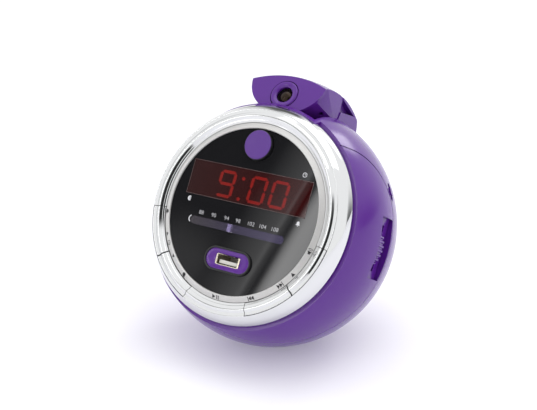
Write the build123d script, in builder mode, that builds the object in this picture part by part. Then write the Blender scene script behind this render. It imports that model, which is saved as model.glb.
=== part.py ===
"""Projection alarm clock: a ball-shaped clock radio with a tilted round face.

A projector folds out of a well in the top. Millimetres, +Z up, the front faces -Y.
The origin is on the table, straight below the middle of the ball.
"""
from build123d import *
import os
from math import cos, radians, sin, sqrt

os.makedirs("parts", exist_ok=True)

# ---------------------------------------------------------------- driving dimensions
# Clearances
move_gap = 0.3  # round a piece that moves
seat_gap = 0.15  # round a piece that is pressed or clipped in
ring_gap = 0.2  # radial, between the glass, the lettering ring and the bezel
shaft_gap = 0.05  # radial, a shaft in its bore
pin_gap = 0.02  # radial, a pin fixed in its hole

# Face
face_tilt = 29.2  # degrees back from upright
glass_radius = 43.9
glass_thickness = 2.0
frame_thickness = 1.8
frame_skirt = 1.5

# Ring
band_width = 3.2
button_width = 6.8
ring_shoulder = 4.9  # rocker buttons out to the ring's edge
first_ridge = 1.4  # ring's inner edge out to each line of its section
ring_valley = 2.7
second_ridge = 3.55
ridge_end = 4.4
button_start = 10.0  # degrees below level
button_sweep = 30.2
button_floor = 1.2  # underside of a ring button below the glass front
rib_radius = 0.65  # round rib that a rocker tilts on

band_inner = glass_radius + ring_gap
band_outer = band_inner + band_width
ring_inner = band_outer + ring_gap
button_outer = ring_inner + button_width
ring_edge_radius = button_outer + ring_shoulder
frame_radius = ring_edge_radius - 3.2

# Ball: its front rim stands just outside the ring
rim_step = 1.572
rim_depth = 27.0  # middle of the ball forward to the front rim of the shells
glass_ahead = 9.0  # front rim forward to the front of the glass
shell_wall = 2.2
base_cut = 4.0  # slice taken off for the flat base
foot_stand = 1.5  # height that the feet hold the base off the table

ball_radius = sqrt((ring_edge_radius + rim_step) ** 2 + rim_depth**2)
glass_front = rim_depth + glass_ahead
base_drop = ball_radius - base_cut

# Seam between the front and rear shells
seam_setback = 8.0
seam_low = 30.0
seam_high = 14.5
seam_curve = 30.0
seam_lean = 17.0  # degrees forward below the bend
groove_width = 0.5
groove_depth = 0.6

# Projector
hinge_inset = 8.24  # surface of the ball in to the hinge
hinge_elevation = 50.57  # degrees
lens_elevation = 43.0  # degrees above level, as it stands open
folded_angle = 27.3  # degrees from there to folded down
projector_reach = 36.5  # hinge to the front plate
plate_thickness = 1.8
skin_inset = 1.0  # the head's curved top is struck to a radius this much under the ball's
skin_ahead = 8.0
skin_crown = 18.5  # hinge up to the head's top
head_half = 22.6
keel_step = 2.2
keel_floor_half = 10.5
keel_depth = 9.5
well_gap = 1.0
well_wall = 2.4
well_floor_gap = 1.0
well_front_gap = 1.0
rear_round = 16.0
rear_gap = 0.6
pin_radius = 1.5

skin_radius = ball_radius - skin_inset
skin_below = skin_radius - skin_crown
keel_half = head_half - keel_step
well_half = head_half + well_gap

# Optics
focus_radius = 8.15
focus_bore = 5.2
focus_depth = 6.0  # front plate back to the ring's rear edge
focus_proud = 1.2
barrel_wall = 0.7
barrel_length = 15.0
lens_thickness = 2.6

barrel_radius = focus_bore - move_gap
barrel_bore = barrel_radius - barrel_wall
focus_lip = barrel_bore + move_gap

# Snooze button
snooze_radius = 8.0
snooze_slit = 0.5
snooze_edge = 0.1  # glass left outside the button's hole
snooze_proud = 2.3
snooze_dish = 0.35
stem_radius = 2.4

snooze_hole = snooze_radius + snooze_slit
snooze_up = glass_radius - snooze_edge - snooze_hole

# Display
window_gap = 4.55  # snooze button's hole down to the window
window_margin = 1.14  # window's upper corners in to the edge of the glass
window_height = 18.9
digit_height = 14.2
digit_width = 8.4
digit_slant = 9.0
segment_width = 1.7
segment_thickness = 0.4
segment_gap = 0.35  # dark line between two strokes of a digit
module_inset = 1.7
module_height = 17.0
module_depth = 6.6
display_recess = 3.4
board_thickness = 1.6

window_top = snooze_up - snooze_hole - window_gap
window_up = window_top - window_height / 2
window_width = 2 * (sqrt(glass_radius**2 - window_top**2) - window_margin)
module_width = window_width - 2 * module_inset

# Tuning scale
scale_gap = 11.15  # window down to the scale
scale_shift = 0.55
scale_length = 57.6
scale_height = 4.2
pointer_rest = 8.4
pointer_width = 2.4
rail_radius = 0.8
rail_reach = 4.2  # rail past each end of the scale

scale_down = scale_gap + scale_height / 2 + window_height - window_top
rail_half = scale_length / 2 + rail_reach

# USB socket
usb_gap = 8.25  # scale down to the gasket
surround_length = 26.0
surround_height = 10.7
gasket_wall = 1.0
usb_width = 13.1
usb_height = 5.7
usb_wall = 0.3
usb_flare = 0.65
usb_depth = 13.0

usb_down = scale_down + (scale_height + surround_height) / 2 + gasket_wall + usb_gap

# Thumb wheels
wheel_radius = 17.0
wheel_width = 6.0
wheel_inset = 1.2
wheel_ahead = 1.3
wheel_teeth = 44
tooth_radius = 0.75
recess_sink = 4.2
recess_length = 32.6
recess_width = 13.4
recess_wall = 1.6
shaft_radius = 2.5

wheel_reach = ball_radius - wheel_inset
recess_floor = ball_radius - recess_sink

# Slide switch
switch_up = 31.0
switch_back = 8.0
switch_slot = 10.0
switch_depth = 1.2

# Inside
pillar_inset = 1.0
pillar_radius = 4.5
screw_radius = 1.5
screw_head = 3.0
screw_seat = 30.0  # middle of the ball back to the screw head's seat
main_board_back = 12.0
main_board_inset = 2.0
main_board_top = 33.0
speaker_radius = 20.0
speaker_rise = 2.0
speaker_inset = 7.5
speaker_depth = 9.5
cone_step = 3.2  # basket's edge in to the cone
magnet_radius = 11.0
magnet_depth = 8.0
slot_height = 2.0
slot_pitch = 4.6
grille_radius = 16.0
jack_side = 24.0
jack_drop = 34.0
jack_sink = 1.4
jack_radius = 4.0

pillar_circle = frame_radius - pillar_inset
main_board_radius = pillar_circle - main_board_inset
speaker_front = ball_radius - speaker_inset
jack_floor = sqrt(ball_radius**2 - jack_side**2 - jack_drop**2) - jack_sink

# Base
foot_radius = 3.5
foot_margin = 0.8
foot_recess = 0.6
door_radius = 13.0
door_thickness = 1.8
cell_radius = 10.0
cell_thickness = 3.2

base_radius = sqrt(ball_radius**2 - base_drop**2)
foot_circle = base_radius - foot_radius - foot_margin

# ---------------------------------------------------------------- planes and axes
centre = Vector(0, 0, foot_stand + base_drop)
across = Vector(1, 0, 0)
face_normal = Vector(0, -cos(radians(face_tilt)), sin(radians(face_tilt)))
face_up = Vector(0, sin(radians(face_tilt)), cos(radians(face_tilt)))
dial_axis = Axis(centre, face_normal)
ring_section = Plane(centre + face_normal * glass_front, x_dir=(1, 0, 0), z_dir=-face_up)
side_section = Plane(centre, x_dir=face_normal, z_dir=(-1, 0, 0))
hinge_reach = ball_radius - hinge_inset
hinge_turn = radians(hinge_elevation)
hinge = centre + Vector(0, hinge_reach * cos(hinge_turn), hinge_reach * sin(hinge_turn))
lens_direction = Vector(0, -cos(radians(lens_elevation)), sin(radians(lens_elevation)))
inner_radius = ball_radius - shell_wall
frame_back = glass_thickness + frame_thickness


def dial(height=0.0, side=0.0, up=0.0):
    """Plane parallel to the glass, at a height above its front."""
    origin = centre + face_normal * (glass_front + height) + across * side + face_up * up
    return Plane(origin, x_dir=(1, 0, 0), z_dir=face_normal)


def head_section(elevation):
    """Side plane through the hinge, x along the lens axis, y up the front plate."""
    ahead = Vector(0, -cos(radians(elevation)), sin(radians(elevation)))
    return Plane(hinge, x_dir=ahead, z_dir=(-1, 0, 0))


def lens_plane(ahead):
    """Plane square to the lens axis, a distance ahead of the hinge."""
    return Plane(hinge + lens_direction * ahead, x_dir=(1, 0, 0), z_dir=lens_direction)


def dome_point(radius, rise, top):
    """Point half way out on a dome, or on a dish if its rise is negative; top is on its axis."""
    sphere = (radius**2 + rise**2) / abs(2 * rise)
    fall = sphere - sqrt(sphere**2 - (radius / 2) ** 2)
    return (radius / 2, top - fall if rise > 0 else top + fall)


# ---------------------------------------------------------------- casing, before it is cut in two
front_sweep = sqrt(projector_reach**2 + 12.0**2) + well_front_gap
rear_sweep = rear_round + rear_gap
well_floor = keel_depth + well_floor_gap


def well_outline(grow):
    """Side outline of the well, about the hinge, in the folded position."""
    with BuildSketch(head_section(lens_elevation - folded_angle)) as outline:
        Circle(front_sweep + grow)
        with Locations((0, -well_floor - grow)):
            Rectangle(
                2 * front_sweep, 3 * front_sweep,
                align=(Align.MIN, Align.MIN), mode=Mode.INTERSECT,
            )
        Circle(rear_sweep + grow)
    return outline.sketch


# Screw pillars, square to the face, one in each quarter.
pillar_angles = (37, 143, 210, 330)
pillar_points = [
    (pillar_circle * cos(radians(a)), pillar_circle * sin(radians(a))) for a in pillar_angles
]
with BuildPart() as pillars:
    with BuildSketch(dial(-glass_front - ball_radius)):
        with Locations(*pillar_points):
            Circle(pillar_radius)
    extrude(amount=ball_radius + rim_depth)
    with Locations(centre):
        Sphere(ball_radius - shell_wall / 2, mode=Mode.INTERSECT)

# Walls of the projector's well.
with BuildPart() as well_walls:
    extrude(well_outline(well_wall), amount=well_half + well_wall, both=True)
    with Locations(centre):
        Sphere(ball_radius, mode=Mode.INTERSECT)

# Pads behind the recesses for the two thumb wheels.
recess_ahead = wheel_ahead - 1.6
with BuildPart() as thumb_pads:
    with BuildSketch(side_section) as pad_sketch:
        with Locations((recess_ahead, 0)):
            Rectangle(recess_width + 2 * recess_wall, recess_length + 2 * recess_wall)
    extrude(amount=ball_radius, both=True)
    extrude(pad_sketch.sketch, amount=recess_floor - recess_wall, both=True, mode=Mode.SUBTRACT)
    with Locations(centre):
        Sphere(ball_radius - shell_wall / 2, mode=Mode.INTERSECT)

# Seat for the speaker and boss for the power jack, on the inside of the back.
speaker_axis = Axis(centre + Vector(0, 0, speaker_rise), (0, 1, 0))
speaker_plane = Plane(centre + Vector(0, speaker_front, speaker_rise), x_dir=(1, 0, 0), z_dir=(0, 1, 0))
jack_plane = Plane(centre + Vector(jack_side, jack_floor, -jack_drop), x_dir=(1, 0, 0), z_dir=(0, 1, 0))
with BuildPart() as rear_seats:
    with BuildSketch(speaker_plane):
        Circle(speaker_radius + 1.5)
        Circle(speaker_radius - cone_step + 0.4, mode=Mode.SUBTRACT)
    extrude(amount=ball_radius - speaker_front)
    with BuildSketch(jack_plane.offset(-2)):
        Circle(jack_radius + 3.5)
    extrude(amount=ball_radius / 3)
    with Locations(centre):
        Sphere(ball_radius - shell_wall / 2, mode=Mode.INTERSECT)

pin_end = well_half + well_wall - 0.4
bay_radius = door_radius + move_gap
bay_wall = 2.3
bay_height = door_thickness + cell_thickness + 1.2
with BuildPart() as casing:
    with Locations(centre):
        Sphere(ball_radius)
        Sphere(inner_radius, mode=Mode.SUBTRACT)
    with BuildSketch(dial(rim_depth - glass_front)):
        Circle(ball_radius)
    extrude(amount=ball_radius, mode=Mode.SUBTRACT)
    add(pillars.part)
    add(thumb_pads.part)
    add(rear_seats.part)
    add(well_walls.part)
    extrude(well_outline(0), amount=well_half, both=True, mode=Mode.SUBTRACT)
    # Flat base, with the bay for the coin cell.
    with BuildSketch(Plane.XY.offset(foot_stand)):
        Circle(ball_radius)
    extrude(amount=-ball_radius, mode=Mode.SUBTRACT)
    with BuildSketch(Plane.XY.offset(foot_stand)):
        Circle(base_radius - 0.1)
    extrude(amount=shell_wall)
    with BuildSketch(Plane.XY.offset(foot_stand)):
        Circle(bay_radius + bay_wall)
    extrude(amount=bay_height + 1.4)
    with BuildSketch(Plane.XY.offset(foot_stand)):
        Circle(bay_radius)
    extrude(amount=bay_height, mode=Mode.SUBTRACT)
    with BuildSketch(Plane.XY.offset(foot_stand + 0.7)):
        Circle(bay_radius + 1.2)
    extrude(amount=door_thickness - 0.4, mode=Mode.SUBTRACT)
    with BuildSketch(Plane.XY.offset(foot_stand)):
        with PolarLocations(bay_radius, 2, start_angle=60):
            Rectangle(2.4, 4.8)
    extrude(amount=1, mode=Mode.SUBTRACT)
    with BuildSketch(Plane.XY.offset(foot_stand)):
        with PolarLocations(foot_circle, 4, start_angle=45):
            Circle(foot_radius + seat_gap)
    extrude(amount=foot_recess, mode=Mode.SUBTRACT)
    # Screw wells and holes.
    with BuildSketch(dial(-glass_front - ball_radius)):
        with Locations(*pillar_points):
            Circle(screw_head + 0.6)
    extrude(amount=ball_radius - screw_seat, mode=Mode.SUBTRACT)
    with BuildSketch(dial(-glass_front - screw_seat)):
        with Locations(*pillar_points):
            Circle(screw_radius + pin_gap)
    extrude(amount=screw_seat + 6, mode=Mode.SUBTRACT)
    # Speaker slots and the hole for the power jack.
    with BuildSketch(speaker_plane.offset(-3)):
        for row in range(-3, 4):
            reach = sqrt(grille_radius**2 - (row * slot_pitch) ** 2)
            with Locations((0, row * slot_pitch)):
                SlotOverall(2 * reach, slot_height)
    extrude(amount=ball_radius - speaker_front + 3, mode=Mode.SUBTRACT)
    with BuildSketch(jack_plane):
        Circle(jack_radius + 1.5)
    extrude(amount=ball_radius / 3, mode=Mode.SUBTRACT)
    with BuildSketch(jack_plane.offset(-6)):
        Circle(jack_radius + seat_gap)
    extrude(amount=7, mode=Mode.SUBTRACT)
    # Hinge pin holes.
    with BuildSketch(Plane.YZ):
        with Locations((hinge.Y, hinge.Z)):
            Circle(pin_radius + pin_gap)
    extrude(amount=pin_end, both=True, mode=Mode.SUBTRACT)

# Recesses and slots for the thumb wheels.
wheel_side = wheel_reach - wheel_radius
wheel_chord = sqrt(wheel_radius**2 - (recess_floor - recess_wall - wheel_side) ** 2)
with BuildPart() as thumb_recesses:
    with BuildSketch(side_section) as recess_sketch:
        with Locations((recess_ahead, 0)):
            Rectangle(recess_width, recess_length)
    extrude(amount=ball_radius, both=True)
    extrude(recess_sketch.sketch, amount=recess_floor, both=True, mode=Mode.SUBTRACT)
    with BuildSketch(side_section) as slot_sketch:
        with Locations((wheel_ahead, 0)):
            Rectangle(wheel_width + 2 * move_gap, 2 * wheel_chord + 1.2)
    extrude(amount=ball_radius, both=True)
    extrude(slot_sketch.sketch, amount=ball_radius * 0.85, both=True, mode=Mode.SUBTRACT)

# Slide switch: a shallow slot behind the seam on the right.
switch_side = sqrt(ball_radius**2 - switch_up**2 - switch_back**2)
switch_out = (across * switch_side + face_up * switch_up - face_normal * switch_back).normalized()
switch_travel = (face_up - switch_out * face_up.dot(switch_out)).normalized()
switch_plane = Plane(centre + switch_out * ball_radius, x_dir=switch_travel, z_dir=switch_out)
with BuildPart() as switch_recess:
    with BuildSketch(switch_plane.offset(2)):
        SlotOverall(switch_slot, 4.4)
    extrude(amount=-2 - switch_depth)
    with BuildSketch(switch_plane):
        SlotOverall(7.0, 2.2)
    extrude(amount=-2 * shell_wall)

# The seam: straight behind the ball's middle, curving forward over the top.
seam_end = 80.0
lean_shift = (seam_end - seam_low) * sin(radians(seam_lean)) / cos(radians(seam_lean))


def seam_path():
    """Draw the seam in the side section, from below the ball to ahead of it."""
    low_end = Line((lean_shift - seam_setback, -seam_end), (-seam_setback, -seam_low))
    upright = Line(low_end @ 1, (-seam_setback, seam_high))
    bend_end = (seam_curve - seam_setback, seam_high + seam_curve)
    bend = TangentArc(upright @ 1, bend_end, tangent=upright % 1)
    Line(bend @ 1, (seam_end, seam_high + seam_curve))


with BuildPart() as rear_region:
    with BuildSketch(side_section):
        with BuildLine():
            seam_path()
            Polyline(
                (seam_end, seam_high + seam_curve), (seam_end, seam_end),
                (-seam_end, seam_end), (-seam_end, -seam_end),
                (lean_shift - seam_setback, -seam_end),
            )
        make_face()
    extrude(amount=seam_end, both=True)
    extrude(well_outline(well_wall), amount=well_half + well_wall, both=True)
with BuildPart() as seam_groove:
    with BuildSketch(side_section):
        with BuildLine():
            seam_path()
        trace(line_width=groove_width)
    extrude(amount=seam_end, both=True)
    with Locations(centre):
        Sphere(ball_radius - groove_depth, mode=Mode.SUBTRACT)
    extrude(well_outline(well_wall), amount=well_half + well_wall, both=True, mode=Mode.SUBTRACT)

# ---------------------------------------------------------------- shells
with BuildPart() as front_shell:
    add(casing.part)
    add(rear_region.part, mode=Mode.SUBTRACT)
    add(thumb_recesses.part, mode=Mode.SUBTRACT)
    add(seam_groove.part, mode=Mode.SUBTRACT)
front_shell.part.label = "front_shell"
export_step(front_shell.part, "parts/front_shell.step")

with BuildPart() as rear_shell:
    add(casing.part)
    add(rear_region.part, mode=Mode.INTERSECT)
    add(switch_recess.part, mode=Mode.SUBTRACT)
    add(seam_groove.part, mode=Mode.SUBTRACT)
rear_shell.part.label = "rear_shell"
export_step(rear_shell.part, "parts/rear_shell.step")

with BuildPart() as rubber_feet:
    with BuildSketch(Plane.XY):
        with PolarLocations(foot_circle, 4, start_angle=45):
            Circle(foot_radius)
    extrude(amount=foot_stand + foot_recess)
    chamfer(rubber_feet.faces().sort_by(Axis.Z)[0:4].edges(), 0.4)
rubber_feet.part.label = "rubber_feet"
export_step(rubber_feet.part, "parts/rubber_feet.step")

with BuildPart() as housing_screws:
    with BuildSketch(dial(-glass_front - screw_seat)):
        with Locations(*pillar_points):
            Circle(screw_radius)
    extrude(amount=screw_seat + 5)
    with BuildSketch(dial(-glass_front - screw_seat)):
        with Locations(*pillar_points):
            Circle(screw_head)
    extrude(amount=-2.2)
    with BuildSketch(dial(-glass_front - screw_seat - 2.2)):
        with Locations(*pillar_points):
            Rectangle(3.6, 0.8)
            Rectangle(0.8, 3.6)
    extrude(amount=1.2, mode=Mode.SUBTRACT)
housing_screws.part.label = "housing_screws"
export_step(housing_screws.part, "parts/housing_screws.step")

# Quarter-turn door for the coin cell.
with BuildPart() as battery_door:
    with BuildSketch(Plane.XY.offset(foot_stand)):
        Circle(door_radius)
    extrude(amount=door_thickness)
    with BuildSketch(Plane.XY.offset(foot_stand + 1)):
        with PolarLocations(door_radius, 2):
            Rectangle(2.4, 4.0)
    extrude(amount=door_thickness - 1)
    with BuildSketch(Plane.XY.offset(foot_stand)):
        SlotOverall(12, 1.8)
    extrude(amount=0.9, mode=Mode.SUBTRACT)
battery_door.part.label = "battery_door"
export_step(battery_door.part, "parts/battery_door.step")

cell_top = foot_stand + bay_height - 0.3
with BuildPart() as coin_cell:
    with BuildSketch(Plane.XY.offset(cell_top)):
        Circle(cell_radius)
    extrude(amount=-cell_thickness)
    chamfer(coin_cell.faces().sort_by(Axis.Z)[0].edges(), 0.4)
coin_cell.part.label = "coin_cell"
export_step(coin_cell.part, "parts/coin_cell.step")

with BuildPart() as battery_contact:
    with BuildSketch(Plane.XY.offset(cell_top)):
        SlotOverall(2 * cell_radius + 4, 7)
    extrude(amount=0.3)
    with BuildSketch(Plane.XY.offset(cell_top)):
        with PolarLocations(cell_radius + 0.4, 2):
            Rectangle(0.5, 5)
    extrude(amount=-cell_thickness + 0.4)
battery_contact.part.label = "battery_contact"
export_step(battery_contact.part, "parts/battery_contact.step")

# ---------------------------------------------------------------- face
def radial_section(angle):
    """Plane through the middle of the face, x outward at an angle, y forward."""
    turn = radians(angle)
    outward = across * cos(turn) + face_up * sin(turn)
    return Plane(ring_section.origin, x_dir=outward, z_dir=across * sin(turn) - face_up * cos(turn))


opening_sweep = 2 * button_sweep + 0.1
half_turn = 180
opening_starts = (-button_start - opening_sweep, button_start - half_turn)
with BuildPart() as button_opening:
    for start in opening_starts:
        with BuildSketch(radial_section(start)):
            with Locations((button_outer + move_gap, 3)):
                Rectangle(8, 8, align=(Align.MAX, Align.MAX))
        revolve(axis=dial_axis, revolution_arc=opening_sweep)

with BuildPart() as well_clearance:
    extrude(
        well_outline(well_wall + seat_gap), amount=well_half + well_wall + seat_gap, both=True
    )

def ring_ridges(start, height):
    """Draw the two raised lines that run round the ring and across its buttons."""
    valley = (ring_inner + ring_valley, 0.6)
    ThreePointArc((start, height), (ring_inner + first_ridge, 1.0), valley)
    ThreePointArc(valley, (ring_inner + second_ridge, 1.6), (ring_inner + ridge_end, 1.2))


with BuildPart() as chrome_bezel:
    with BuildSketch(ring_section):
        with BuildLine():
            Polyline((ring_inner, -glass_thickness), (ring_inner, -0.4))
            ring_ridges(ring_inner, -0.4)
            Line((ring_inner + ridge_end, 1.2), (button_outer + 0.1, 1.9))
            ThreePointArc((button_outer + 0.1, 1.9), (ring_edge_radius - 1.3, -2.4),
                          (ring_edge_radius, rim_depth - glass_front))
            Polyline(
                (ring_edge_radius, rim_depth - glass_front),
                (ring_edge_radius - 2.2, rim_depth - glass_front),
                (frame_radius + 0.3, -frame_back), (frame_radius + 0.3, -glass_thickness),
                (ring_inner, -glass_thickness),
            )
        make_face()
    revolve(axis=dial_axis)
    add(button_opening.part, mode=Mode.SUBTRACT)
    add(well_clearance.part, mode=Mode.SUBTRACT)
chrome_bezel.part.label = "chrome_bezel"
export_step(chrome_bezel.part, "parts/chrome_bezel.step")

# Rocker buttons set into the ring, two on each side, each pivoting at its middle.
def ring_button(start):
    """One rocker: the ring's own section, turned through its share of the opening."""
    end_gap = 0.35
    floor = -button_floor
    outer = button_outer - 0.05
    with BuildPart() as rocker:
        with BuildSketch(radial_section(start + end_gap)):
            with BuildLine():
                Polyline((ring_inner + move_gap, floor), (ring_inner + move_gap, -0.3))
                ring_ridges(ring_inner + move_gap, -0.3)
                Polyline(
                    (ring_inner + ridge_end, 1.2), (outer, 1.8),
                    (outer, floor), (ring_inner + move_gap, floor),
                )
            make_face()
        revolve(axis=dial_axis, revolution_arc=button_sweep - 2 * end_gap)
        outward = radial_section(start + button_sweep / 2).x_dir
        rib_start = ring_section.origin + outward * (ring_inner + 1) + face_normal * floor
        with BuildSketch(Plane(rib_start, x_dir=face_normal, z_dir=outward)):
            Circle(rib_radius)
        extrude(amount=button_width - 2)
    return rocker.part


right_upper_button = ring_button(-button_start - button_sweep)
right_upper_button.label = "right_upper_button"
export_step(right_upper_button, "parts/right_upper_button.step")
right_lower_button = ring_button(-button_start - opening_sweep)
right_lower_button.label = "right_lower_button"
export_step(right_lower_button, "parts/right_lower_button.step")
left_upper_button = ring_button(button_start - half_turn)
left_upper_button.label = "left_upper_button"
export_step(left_upper_button, "parts/left_upper_button.step")
left_lower_button = ring_button(button_start - half_turn + opening_sweep - button_sweep)
left_lower_button.label = "left_lower_button"
export_step(left_lower_button, "parts/left_lower_button.step")

# Two domes under each rocker, on the plate.
rocker_middles = (
    -button_start - button_sweep / 2,
    -button_start - opening_sweep + button_sweep / 2,
    button_start - half_turn + button_sweep / 2,
    button_start - half_turn + opening_sweep - button_sweep / 2,
)
with BuildPart() as dome_switches:
    with BuildSketch(dial(-glass_thickness)):
        for middle in rocker_middles:
            with PolarLocations(
                ring_inner + second_ridge, 2, start_angle=middle - 7, angular_range=14, endpoint=True
            ):
                Circle(2)
    extrude(amount=0.4)
dome_switches.part.label = "dome_switches"
export_step(dome_switches.part, "parts/dome_switches.step")

with BuildPart() as lettering_ring:
    with BuildSketch(ring_section):
        with BuildLine():
            Polyline(
                (band_inner, -glass_thickness), (band_inner, 0.5), (band_inner + 0.4, 0.8),
                (band_outer, -0.6), (band_outer, -glass_thickness), close=True,
            )
        make_face()
    revolve(axis=dial_axis)
    with BuildSketch(dial(-glass_thickness, up=snooze_up)):
        Circle(snooze_hole)
    extrude(amount=6, mode=Mode.SUBTRACT)
lettering_ring.part.label = "lettering_ring"
export_step(lettering_ring.part, "parts/lettering_ring.step")

scale_side = -scale_shift
with BuildPart() as dial_glass:
    with BuildSketch(dial(-glass_thickness)):
        Circle(glass_radius)
        with Locations((0, window_up)):
            Rectangle(window_width + 0.1, window_height + 0.1, mode=Mode.SUBTRACT)
        with Locations((scale_side, -scale_down)):
            SlotOverall(scale_length + 0.1, scale_height + 0.1, mode=Mode.SUBTRACT)
        with Locations((0, snooze_up)):
            Circle(snooze_hole, mode=Mode.SUBTRACT)
        with Locations((0, -usb_down)):
            SlotOverall(
                surround_length + 2 * gasket_wall + 0.1, surround_height + 2 * gasket_wall + 0.1,
                mode=Mode.SUBTRACT,
            )
    extrude(amount=glass_thickness)
dial_glass.part.label = "dial_glass"
export_step(dial_glass.part, "parts/dial_glass.step")

with BuildPart() as display_filter:
    with BuildSketch(dial(-glass_thickness, up=window_up)):
        Rectangle(window_width, window_height)
    extrude(amount=glass_thickness - 0.05)
display_filter.part.label = "display_filter"
export_step(display_filter.part, "parts/display_filter.step")

with BuildPart() as scale_window:
    with BuildSketch(dial(-glass_thickness, side=scale_side, up=-scale_down)):
        SlotOverall(scale_length, scale_height)
    extrude(amount=glass_thickness - 0.05)
scale_window.part.label = "scale_window"
export_step(scale_window.part, "parts/scale_window.step")

# Moulded plate behind the glass, carrying the ring, the display and the pointer's rail.
board_half = module_width / 2 + 2.2
rail_depth = 6.0
rail_point = dial(-rail_depth, up=-scale_down).origin
with BuildPart() as face_frame:
    with BuildSketch(dial(-frame_back)):
        Circle(frame_radius)
        with Locations((0, window_up)):
            Rectangle(module_width + 1.4, module_height + 0.8, mode=Mode.SUBTRACT)
        with Locations((scale_side, -scale_down)):
            SlotOverall(scale_length + 2, scale_height + 1, mode=Mode.SUBTRACT)
        with Locations((0, snooze_up)):
            Circle(stem_radius + move_gap, mode=Mode.SUBTRACT)
        with Locations((0, -usb_down)):
            SlotOverall(surround_length - 3, usb_height + 1, mode=Mode.SUBTRACT)
    extrude(amount=frame_thickness)
    with BuildSketch(dial(-frame_back)):
        Circle(frame_radius)
        Circle(frame_radius - frame_skirt, mode=Mode.SUBTRACT)
    extrude(amount=rim_depth - glass_front + frame_back)
    with BuildSketch(dial(-frame_back, up=window_up)):
        with Locations((board_half, 10), (-board_half, 10), (board_half, -10), (-board_half, -10)):
            Circle(1.2)
    extrude(amount=frame_back - display_recess - module_depth)
    with BuildSketch(dial(-frame_back, up=snooze_up - 1)):
        with Locations((7.5, 0), (-7.5, 0)):
            Rectangle(2.4, 4)
    extrude(amount=-3.8)
    with BuildSketch(dial(-frame_back, up=-scale_down)):
        with Locations((rail_half - 0.8, 0), (0.8 - rail_half, 0)):
            Rectangle(2.6, 5)
    extrude(amount=-4)
    with BuildSketch(Plane.YZ):
        with Locations((rail_point.Y, rail_point.Z)):
            Circle(rail_radius + pin_gap)
    extrude(amount=rail_half, both=True, mode=Mode.SUBTRACT)
    add(well_clearance.part, mode=Mode.SUBTRACT)
face_frame.part.label = "face_frame"
export_step(face_frame.part, "parts/face_frame.step")

# ---------------------------------------------------------------- snooze button
snooze_section = Plane(ring_section.origin + face_up * snooze_up, x_dir=(1, 0, 0), z_dir=-face_up)
snooze_axis = Axis(snooze_section.origin, face_normal)
snooze_floor = -0.6
stem_end = -5.2
snooze_round = 0.7
snooze_rim = snooze_radius - 1.2
with BuildPart() as snooze_button:
    with BuildSketch(snooze_section):
        with BuildLine():
            Polyline(
                (0, snooze_proud - snooze_dish), (0, stem_end), (stem_radius, stem_end),
                (stem_radius, snooze_floor), (snooze_radius, snooze_floor),
                (snooze_radius, snooze_proud - snooze_round),
            )
            TangentArc(
                (snooze_radius, snooze_proud - snooze_round), (snooze_radius - snooze_round, snooze_proud),
                tangent=(0, 1),
            )
            Line((snooze_radius - snooze_round, snooze_proud), (snooze_rim, snooze_proud))
            ThreePointArc(
                (snooze_rim, snooze_proud), dome_point(snooze_rim, -snooze_dish, snooze_proud - snooze_dish),
                (0, snooze_proud - snooze_dish),
            )
        make_face()
    revolve(axis=snooze_axis)
    with BuildSketch(dial(-frame_back - move_gap, up=snooze_up)):
        Rectangle(3.4 * stem_radius, 1.2 * stem_radius)
    extrude(amount=-0.8)
snooze_button.part.label = "snooze_button"
export_step(snooze_button.part, "parts/snooze_button.step")

with BuildPart() as snooze_board:
    with BuildSketch(dial(-frame_back - 3.8, up=snooze_up - 1)):
        Rectangle(19, 6)
    extrude(amount=-1.2)
    add(well_clearance.part, mode=Mode.SUBTRACT)
snooze_board.part.label = "snooze_board"
export_step(snooze_board.part, "parts/snooze_board.step")

with BuildPart() as snooze_switch:
    with BuildSketch(dial(-frame_back - 3.8, up=snooze_up - 1)):
        Rectangle(6, 5)
    extrude(amount=0.8)
    with BuildSketch(dial(-frame_back - 3, up=snooze_up - 1)):
        Circle(1.6)
    extrude(amount=0.4)
snooze_switch.part.label = "snooze_switch"
export_step(snooze_switch.part, "parts/snooze_switch.step")

# ---------------------------------------------------------------- display
with BuildPart() as display_module:
    with BuildSketch(dial(-display_recess, up=window_up)):
        Rectangle(module_width, module_height)
    extrude(amount=-module_depth)
display_module.part.label = "display_module"
export_step(display_module.part, "parts/display_module.step")

lean = digit_height * sin(radians(digit_slant)) / cos(radians(digit_slant))


def digit(side, strokes):
    """Seven-segment digit from its lit strokes, leaning to the right."""
    half_wide = (digit_width - lean - segment_width) / 2
    half_high = (digit_height - segment_width) / 2
    lengths = (2 * half_wide - segment_gap, half_high - segment_gap)
    spots = {
        "top": (lean / 2, half_high, 0), "middle": (0, 0, 0), "bottom": (-lean / 2, -half_high, 0),
        "upper_left": (lean / 4 - half_wide, half_high / 2, 1),
        "upper_right": (lean / 4 + half_wide, half_high / 2, 1),
        "lower_left": (-lean / 4 - half_wide, -half_high / 2, 1),
        "lower_right": (-lean / 4 + half_wide, -half_high / 2, 1),
    }
    for stroke in strokes:
        along, up, upright = spots[stroke]
        tip = lengths[upright] / 2
        blunt = tip - segment_width / 2
        turn = 90 - digit_slant if upright else 0
        with Locations(Location((side + along, up), turn)):
            Polygon(
                (-tip, 0), (-blunt, segment_width / 2), (blunt, segment_width / 2),
                (tip, 0), (blunt, -segment_width / 2), (-blunt, -segment_width / 2),
            )


with BuildPart() as lit_segments:
    with BuildSketch(dial(-display_recess, up=window_up - 0.8)):
        nine = ("top", "middle", "bottom", "upper_left", "upper_right", "lower_right")
        zero = ("top", "bottom", "upper_left", "upper_right", "lower_left", "lower_right")
        digit(-16.5, nine)
        digit(3.9, zero)
        digit(16.4, zero)
        with Locations((-5.7, 3.1), (-6.7, -3.1)):
            Circle(1.0)
    extrude(amount=segment_thickness)
lit_segments.part.label = "lit_segments"
export_step(lit_segments.part, "parts/lit_segments.step")

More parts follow.
